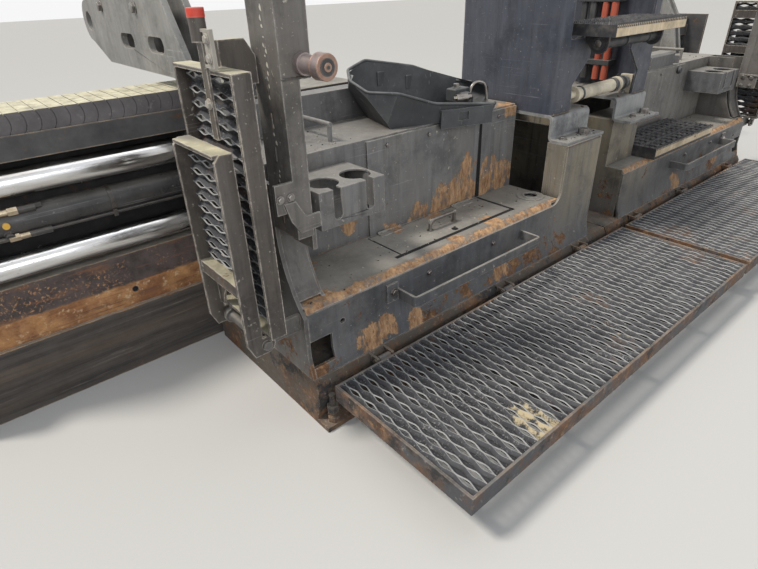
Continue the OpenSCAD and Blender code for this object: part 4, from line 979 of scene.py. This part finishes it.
def add_latches():
    """Straps and bolts that latch the racks, and the red caps of the latch tubes."""
    for side, sign in SIDES:
        high = millimetres("rack_" + side)[1]
        x = sign * LATCH_X
        steel = Pile("latch_" + side, "main", "latch", "worn_steel")
        inner, outer = sorted((x - 4, x + 4))
        for y0, y1, z0, z1 in ((80, 108, 975, 1034), (80, 122, 970, 976), (80, 122, 1033, 1039)):
            steel.box((inner, y0, z0), (outer, y1, z1))
        for z in (988, 1022):
            steel.bolt((x + sign * 4, 94, z), (sign, 0, 0), 8, 4)
        steel.bolt((x + sign * 3, 134, 900), (sign, 0, 0), 9, 5)
        steel.done(bevel=0.0005)
        cap = Pile("latch_cap_" + side, "main", "red", "black_plastic")
        cap.rod((x, 134, high[2] - 16), (x, 134, high[2] + 1.5), 17, sides=28)
        cap.done(bevel=0.0015)


def add_knob_rings():
    """Turned rings of the lock knobs and their collars, and black discs of painted shade at their
    hollow ends.
    """
    for side in ("left", "right"):
        low, high = millimetres("knob_" + side)
        x, z = (low[0] + high[0]) / 2, (low[2] + high[2]) / 2
        face = low[1]
        pile = Pile("knob_rings_" + side, "main", "copper", "worn_steel")
        for y, radius, length in ((face - 2, 25.5, 8), (face + 22, 26.5, 4)):
            pile.rod((x, y, z), (x, y + length, z), radius, sides=40)
        pile.rod((x, face - 5, z), (x, face, z), 9, sides=24)
        pile.done(bevel=0.0015)
        # Painted shade: black discs stand for the knob's hollow end
        dark = Pile("knob_hollow_shade_" + side, "main", "hose", "black_plastic")
        dark.rod((x, face - 3, z), (x, face + 1, z), 17, sides=32)
        dark.rod((x, face - 6, z), (x, face, z), 4, sides=16)
        dark.done()


def add_seam_shade():
    """Painted shade: black strips in the gaps behind and beside the lid and a black wedge between the
    wall's panels.
    """
    low, high = millimetres("lid")
    pile = Pile("seams", "main", "painted_shade", "black_plastic")
    top = SHELF_Z + 0.5
    pile.box((low[0] - 30, low[1] - 14, top - 1), (high[0] + 12, low[1] + 1, top))
    pile.box((high[0] - 1, low[1] - 14, top - 1), (high[0] + 12, PANEL_Y - 6, top))
    pile.box((low[0] - 6, low[1], top - 1), (low[0] + 1, PANEL_Y - 30, top))
    wedge = [
        (PANEL_GAP[0] - 4, SHELF_Z), (PANEL_GAP[1] + 8, SHELF_Z), (PANEL_GAP[1] + 1, DECK_Z - 7),
        (PANEL_GAP[0] - 1, DECK_Z - 7)]
    pile.rings([[at(x, y, z) for x, z in wedge] for y in (PANEL_Y + 9, PANEL_Y - 0.8)])
    pile.done()


def add_shelf_sockets():
    """Flange rings round the round holes in the shelves beside the centre blocks, and a black sleeve of
    painted shade inside each hole.
    """
    x, y = SOCKET_AT
    for side, sign in SIDES:
        rim = Pile("shelf_socket_" + side, "main", "worn_paint", "dark_paint")
        rim.band(SHELF_Z, SHELF_Z + 3, sign * x, y, SOCKET_RIM, SOCKET_BORE, 56, upright=True)
        rim.band(SHELF_Z + 3, SHELF_Z + 6, sign * x, y, SOCKET_BORE + 7, SOCKET_BORE, 48, upright=True)
        rim.done(bevel=0.001)
        # Painted shade: a black sleeve darkens the inside of the hole
        sleeve = Pile("shelf_hole_shade_" + side, "main", "painted_shade", "black_plastic")
        sleeve.band(
            SHELF_Z - 45, SHELF_Z + 2, sign * x, y, SOCKET_BORE, SOCKET_BORE - 2.5, 48, upright=True)
        sleeve.done()


def add_turnbuckle_rings():
    """Dark ring, grooved collars and grime on the crown turnbuckle."""
    low, high = millimetres("turnbuckle")
    y, z = (low[1] + high[1]) / 2, BUCKLE_Z
    dark = Pile("turnbuckle_rings", "main", "hose", "black_plastic")
    for x in (-128, 118, 206):
        dark.rod((x, y, z), (x + 9, y, z), BUCKLE_R + 3.5, sides=32)
    dark.done(bevel=0.0008)
    worn = Pile("turnbuckle_collars", "main", "walkway_steel", "worn_steel")
    for x, radius in ((132, BUCKLE_R + 2), (170, BUCKLE_R + 3), (186, BUCKLE_R - 4), (220, 24)):
        worn.rod((x, y, z), (x + 12, y, z), radius, sides=32)
    worn.done(bevel=0.0008)


def add_deck_box():
    """Closed box with a round knob and a lug on the right deck's rear edge."""
    box = Pile("deck_box", "main", "skirt", "dark_paint")
    profile = [
        (PANEL_Y + 9, DECK_Z), (PANEL_Y + 9, DECK_Z + 56), (PANEL_Y + 21, DECK_Z + 68),
        (PANEL_Y + 84, DECK_Z + 68), (PANEL_Y + 84, DECK_Z)]
    box.rings([[at(x, y, z) for y, z in profile] for x in (715, 960)])
    box.box((966, PANEL_Y + 12, DECK_Z), (978, PANEL_Y + 50, DECK_Z + 62))
    box.box((1042, PANEL_Y + 14, DECK_Z), (1052, PANEL_Y + 60, DECK_Z + 40))
    box.done(bevel=0.002)
    knob = Pile("deck_box_knob", "main", "hose", "black_plastic")
    knob.rod((1026, PANEL_Y, 664), (1026, PANEL_Y - 8, 664), 15, 19, sides=28)
    knob.rod((1026, PANEL_Y - 8, 664), (1026, PANEL_Y - 17, 664), 19, 13, sides=28)
    knob.done(bevel=0.0015)


def add_extender_holes():
    """Black discs of painted shade at the open threads in the extenders' rusty flanges."""
    for side, sign in SIDES:
        low = millimetres("extender_" + side)[0]
        pile = Pile("flange_hole_shade_" + side, "extender_" + side, "painted_shade", "black_plastic")
        for x in (1764, 2150):
            pile.rod((sign * x, low[1] + 12.5, 276), (sign * x, low[1] + 11.4, 276), 10, sides=24)
        pile.done()


def add_lid_handle():
    """Bright worn rod and feet of the lid's handle."""
    low, high = millimetres("lid")
    x0, x1, y = high[0] - 346, high[0] - 229, low[1] + 66
    pile = Pile("lid_handle_rod", "lid", "bolt_steel", "worn_steel")
    line = [
        (x0, y, SHELF_Z + 1), (x0, y, SHELF_Z + 26), (x0 + 13, y, SHELF_Z + 36),
        (x1 - 6, y, SHELF_Z + 36), (x1, y, SHELF_Z + 30), (x1, y, SHELF_Z + 1)]
    pile.pipe(rounded(line, 8), 6.2, sides=14)
    for x in (x0, x1):
        pile.rod((x, y, SHELF_Z), (x, y, SHELF_Z + 3), 11, sides=20)
    pile.done()
    # Painted shade: a black disc stands for the lock hole in the lid
    hole = Pile("lid_lock_hole_shade", "lid", "painted_shade", "black_plastic")
    hole.rod(
        (high[0] - 276, low[1] + 18, SHELF_Z), (high[0] - 276, low[1] + 18, SHELF_Z + 0.6), 12,
        sides=24)
    hole.done()


def add_post_marks():
    """Flakes of pale paint in a broken line up the outer face of the posts."""
    for side, sign in SIDES:
        pile = Pile("post_marks_" + side, "main", "yellowed", "black_plastic")
        z = 640.0
        while z < 1080:
            long = rng.uniform(4, 15)
            y = 98 + rng.uniform(-5, 5)
            wide = rng.uniform(1, 4)
            outline = [
                (y - wide, z), (y + wide * 0.4, z + long * 0.2), (y + wide, z + long * 0.5),
                (y + wide * 0.2, z + long), (y - wide * 0.6, z + long * 0.7)]
            lower = [at(sign * 1523.5, *p) for p in outline]
            upper = [at(sign * 1524.6, *p) for p in outline]
            pile.rings([lower, upper])
            z += long + rng.choice((2, 5, 9, 14, 36))
        pile.done()


def on_tray(x, y, z):
    """A place in the tray's own frame: x along it and y into it, from its front left corner."""
    c, s = math.cos(TRAY_TURN), math.sin(TRAY_TURN)
    return (TRAY_AT[0] + x * c + y * s, TRAY_AT[1] - x * s + y * c, TRAY_AT[2] + z)


def add_tray_dress():
    """Rolled rim, pads and a chrome clamp with a black block, and dust in the loose tray."""
    rim = Pile("tray_rim", "main", "black_plastic", "black_plastic")
    line = [
        (338, 16, 40), (320, -10, 42), (87, -10, 65), (-48, -20, 110), (-132, 28, 114), (-164, 98, 143),
        (-140, 176, 165), (-62, 219, 185), (118, 219, 153), (290, 219, 92), (338, 170, 88)]
    rim.pipe(rounded([on_tray(*p) for p in line], 12), 5, sides=12)
    for x, z in ((-20, 100), (90, 80)):
        low = on_tray(x, 204, z)
        rim.box(low, [a + b for a, b in zip(low, (52, 8, 46))])
    rim.done(bevel=0.002)
    floor = Pile("tray_dust", "main", "dust", "worn_paint")
    for x, y, r in ((120, 90, 62), (20, 120, 40), (200, 60, 45)):
        lower, upper = [], []
        for i in range(28):
            t = math.tau * i / 28
            u = x + r * math.cos(t) * (1 + 0.25 * math.sin(3 * t + x))
            v = y + r * 0.6 * math.sin(t) * (1 + 0.2 * math.cos(2 * t + y))
            place = on_tray(u, v, 6.4)
            lower.append(at(*place))
            upper.append(at(place[0], place[1], place[2] + 0.8))
        floor.rings([lower, upper])
    floor.done()
    chrome = Pile("tray_clamp", "main", "bolt_steel", "worn_steel")
    arch = [(262, 60, 44), (264, 60, 92), (286, 62, 108), (318, 56, 104), (326, 50, 60), (326, 50, 20)]
    chrome.pipe(rounded([on_tray(*p) for p in arch], 18), 5, sides=12)
    chrome.rod(on_tray(196, 40, 62), on_tray(236, 36, 64), 15, sides=26)
    chrome.rod(on_tray(186, 41, 62), on_tray(196, 40, 62), 9, sides=6)
    chrome.rod(on_tray(236, 36, 64), on_tray(252, 35, 66), 8, sides=16)
    chrome.bolt(on_tray(226, 92, 88), (0, 0, 1), 11, 12)
    chrome.done(bevel=0.0006)
    block = Pile("tray_block", "main", "black_plastic", "black_plastic")
    x, y, z = on_tray(206, 62, 46)
    block.box((x, y, z), (x + 74, y + 46, z + 42))
    block.box((x + 20, y - 26, z + 4), (x + 58, y + 2, z + 30))
    block.box((x + 48, y - 4, z - 32), (x + 92, y + 30, z + 12))
    block.done(bevel=0.005)


def add_tower_hoses():
    """Hydraulic hoses that hang in the channel of each tower, with clips."""
    for side, sign in SIDES:
        red = Pile("tower_hoses_" + side, "main", "red_hose", "black_plastic")
        black = Pile("tower_lines_" + side, "main", "hose", "black_plastic")
        for i, (x, y) in enumerate(((300, 330), (300, 372), (304, 430), (306, 474))):
            line = [
                (sign * x, y, 1336), (sign * (x + 4), y + 6, 1150), (sign * (x - 6), y - 4, 930),
                (sign * x, y, 700)]
            (red if i < 2 else black).pipe(rounded(line, 60), 15 - i % 2, sides=14)
        for z in (760, 1010, 1250):
            black.slab(sign, 346, 282, 308, 494, z, z + 22)
        red.done()
        black.done(bevel=0.002)


# Where crumbs lie on the main body: x and y from and to, height, how many
MAIN_BEDS = (
    (-1500, -370, 84, 300, 375, 150), (370, 1500, 84, 300, 375, 110),
    (-1450, -1100, 330, 560, 694, 50), (370, 1400, 330, 560, 694, 60),
    (-350, -110, 82, 140, 584, 36), (110, 350, 82, 140, 584, 30),
    (-1515, -20, 2, 30, 16, 110), (20, 1515, 2, 30, 16, 90))


def add_crumbs():
    """Crumbs of asphalt and stones that lie on ledges, shelves and decks."""
    for body, name, places in (
            ("main", "crumbs_main", MAIN_BEDS),
            ("extender_left", "crumbs_extender_left", ((-2250, -800, 712, 1020, 392, 120),)),
            ("extender_right", "crumbs_extender_right", ((800, 2250, 712, 1020, 392, 120),))):
        pile = Pile(name, body, "crumbs", "rusty_steel")
        for x0, x1, y0, y1, z, count in places:
            for _ in range(count):
                size = 1.2 + 3.6 * rng.random() ** 2.5
                x, y = rng.uniform(x0, x1), rng.uniform(y0, y1)
                turn = rng.uniform(0, math.tau)
                ring = []
                for level, width in ((-0.3, 0.8), (0.35, 1.0), (0.9, 0.5)):
                    corners = []
                    for i in range(5):
                        t = turn + math.tau * i / 5
                        r = size * width * (0.8 + 0.3 * ((i * 7 + 3) % 5) / 5)
                        corners.append(at(x + r * math.cos(t), y + r * math.sin(t), z + size * level))
                    ring.append(corners)
                pile.rings(ring)
        pile.done()


def add_chain_cover():
    """Hose ends of the hose chains."""
    for side, sign in SIDES:
        low, high = millimetres("chain_" + side)
        pile = Pile("chain_hoses_" + side, "extender_" + side, "hose", "black_plastic")
        outer = low[0] if sign > 0 else high[0]
        start = outer + sign * 2
        for i, y in enumerate((low[1] + 30, low[1] + 62, low[1] + 92, low[1] + 128)):
            bends = ((0, 818), (60, 818), (110, 806 - 4 * i), (112, 798))
            line = rounded([(start - sign * x, y, z) for x, z in bends], 30)
            pile.pipe(line, 9 + i % 2 * 2, sides=12)
        pile.done()


def dress_nodes():
    """Gives each CAD node its material and rounds its edges."""
    slots = {row["node"]: row["material_slot"] for row in frame["record"]["subparts"]}
    for name, node in frame["nodes"].items():
        node.data.materials.clear()
        node.data.materials.append(LOOKS[NODE_LOOKS.get(name, slots[name])])
        custom = node.data.attributes.get("custom_normal")
        if custom:
            node.data.attributes.remove(custom)
        node.data.polygons.foreach_set("use_smooth", [True] * len(node.data.polygons))
        weld = node.modifiers.new("weld", "WELD")
        weld.merge_threshold = WELD_GAP
        round_edges(node, FINE_BEVEL if name in FINE_NODES else BEVEL, name not in WEIGHTED_NODES)
        if name in WEIGHTED_NODES:
            shading = node.modifiers.new("shading", "WEIGHTED_NORMAL")
            shading.weight = 100
            shading.mode = "FACE_AREA_WITH_ANGLE"
            shading.keep_sharp = True


def add_camera():
    """The camera that was solved from the photo."""
    data = bpy.data.cameras.new("camera")
    data.sensor_width = SENSOR
    data.lens = CAMERA_LENS
    ahead = Vector((
        math.sin(CAMERA_YAW) * math.cos(CAMERA_PITCH), math.cos(CAMERA_YAW) * math.cos(CAMERA_PITCH),
        -math.sin(CAMERA_PITCH)))
    level = Vector((math.cos(CAMERA_YAW), -math.sin(CAMERA_YAW), 0))
    rise = level.cross(ahead)
    right = level * math.cos(CAMERA_ROLL) + rise * math.sin(CAMERA_ROLL)
    up = rise * math.cos(CAMERA_ROLL) - level * math.sin(CAMERA_ROLL)
    turn = Matrix((right, up, -ahead)).transposed()
    bpy.context.scene.camera = in_scene("camera", data, Matrix.Translation(CAMERA_AT) @ turn.to_4x4())


def add_lamp(kind, name, source, aim, power, colour=(1, 1, 1)):
    """A lamp at source that looks at aim, and its data for what differs by kind."""
    data = bpy.data.lights.new(name, kind)
    data.energy = power
    data.color = colour
    look = (Vector(aim) - Vector(source)).to_track_quat("-Z", "Y").to_matrix().to_4x4()
    lamp = in_scene(name, data, Matrix.Translation(source) @ look)
    return data


def add_area(name, source, aim, size, power, colour=(1, 1, 1)):
    """A square lamp that looks at a point."""
    data = add_lamp("AREA", name, source, aim, power, colour)
    data.shape = "RECTANGLE"
    data.size, data.size_y = size


def add_studio():
    """Pale floor, pale surroundings and soft lamps."""
    corners = [(x * FLOOR_REACH, y * FLOOR_REACH, 0) for x, y in ((-1, -1), (1, -1), (1, 1), (-1, 1))]
    mesh = bpy.data.meshes.new("floor")
    mesh.from_pydata(corners, [], [(0, 1, 2, 3)])
    g = Graph("floor")
    g.colour = (0.50, 0.495, 0.48)
    mesh.materials.append(g.finish(0.9, specular=0.2))
    floor = in_scene("floor", mesh)
    world = bpy.data.worlds.new("studio")
    bpy.context.scene.world = world
    world.use_nodes = True
    tree = world.node_tree
    tree.nodes.clear()
    light = new_node(tree, "Background", {"Color": SKY_COLOUR, "Strength": SKY_POWER})
    seen = new_node(tree, "Background", {"Color": (0.93, 0.93, 0.93), "Strength": 1.0})
    path = new_node(tree, "LightPath")
    rays = {0: path.outputs["Is Camera Ray"], 1: path.outputs["Is Glossy Ray"]}
    either = new_node(tree, "Math", rays, operation="MAXIMUM")
    blend = new_node(tree, "MixShader", enumerate(node.outputs[0] for node in (either, light, seen)))
    new_node(tree, "OutputWorld", {0: blend.outputs[0]})
    key = add_lamp("SUN", "key", (-3.0, 1.6, 5.0), (0, 0, 0), 2.8, (1.0, 0.94, 0.85))
    key.angle = KEY_SPREAD
    add_area("fill", (-3.5, -6.5, 3.5), (-0.6, 0, 0.4), (5, 3), 170, (0.97, 0.98, 1.0))
    add_area("top", (-0.5, -0.5, 7.0), (-0.5, 0, 0), (6, 5), 80)
    bpy.context.scene.view_settings.view_transform = "Standard"


add_camera()
add_studio()
dress_nodes()
add_decks()
add_bolts()
add_welds()
add_cylinder_lines()
add_treads()
add_latches()
add_knob_rings()
add_seam_shade()
add_shelf_sockets()
add_lid_handle()
add_post_marks()
add_turnbuckle_rings()
add_deck_box()
add_extender_holes()
add_tray_dress()
add_tower_hoses()
add_crumbs()
add_chain_cover()
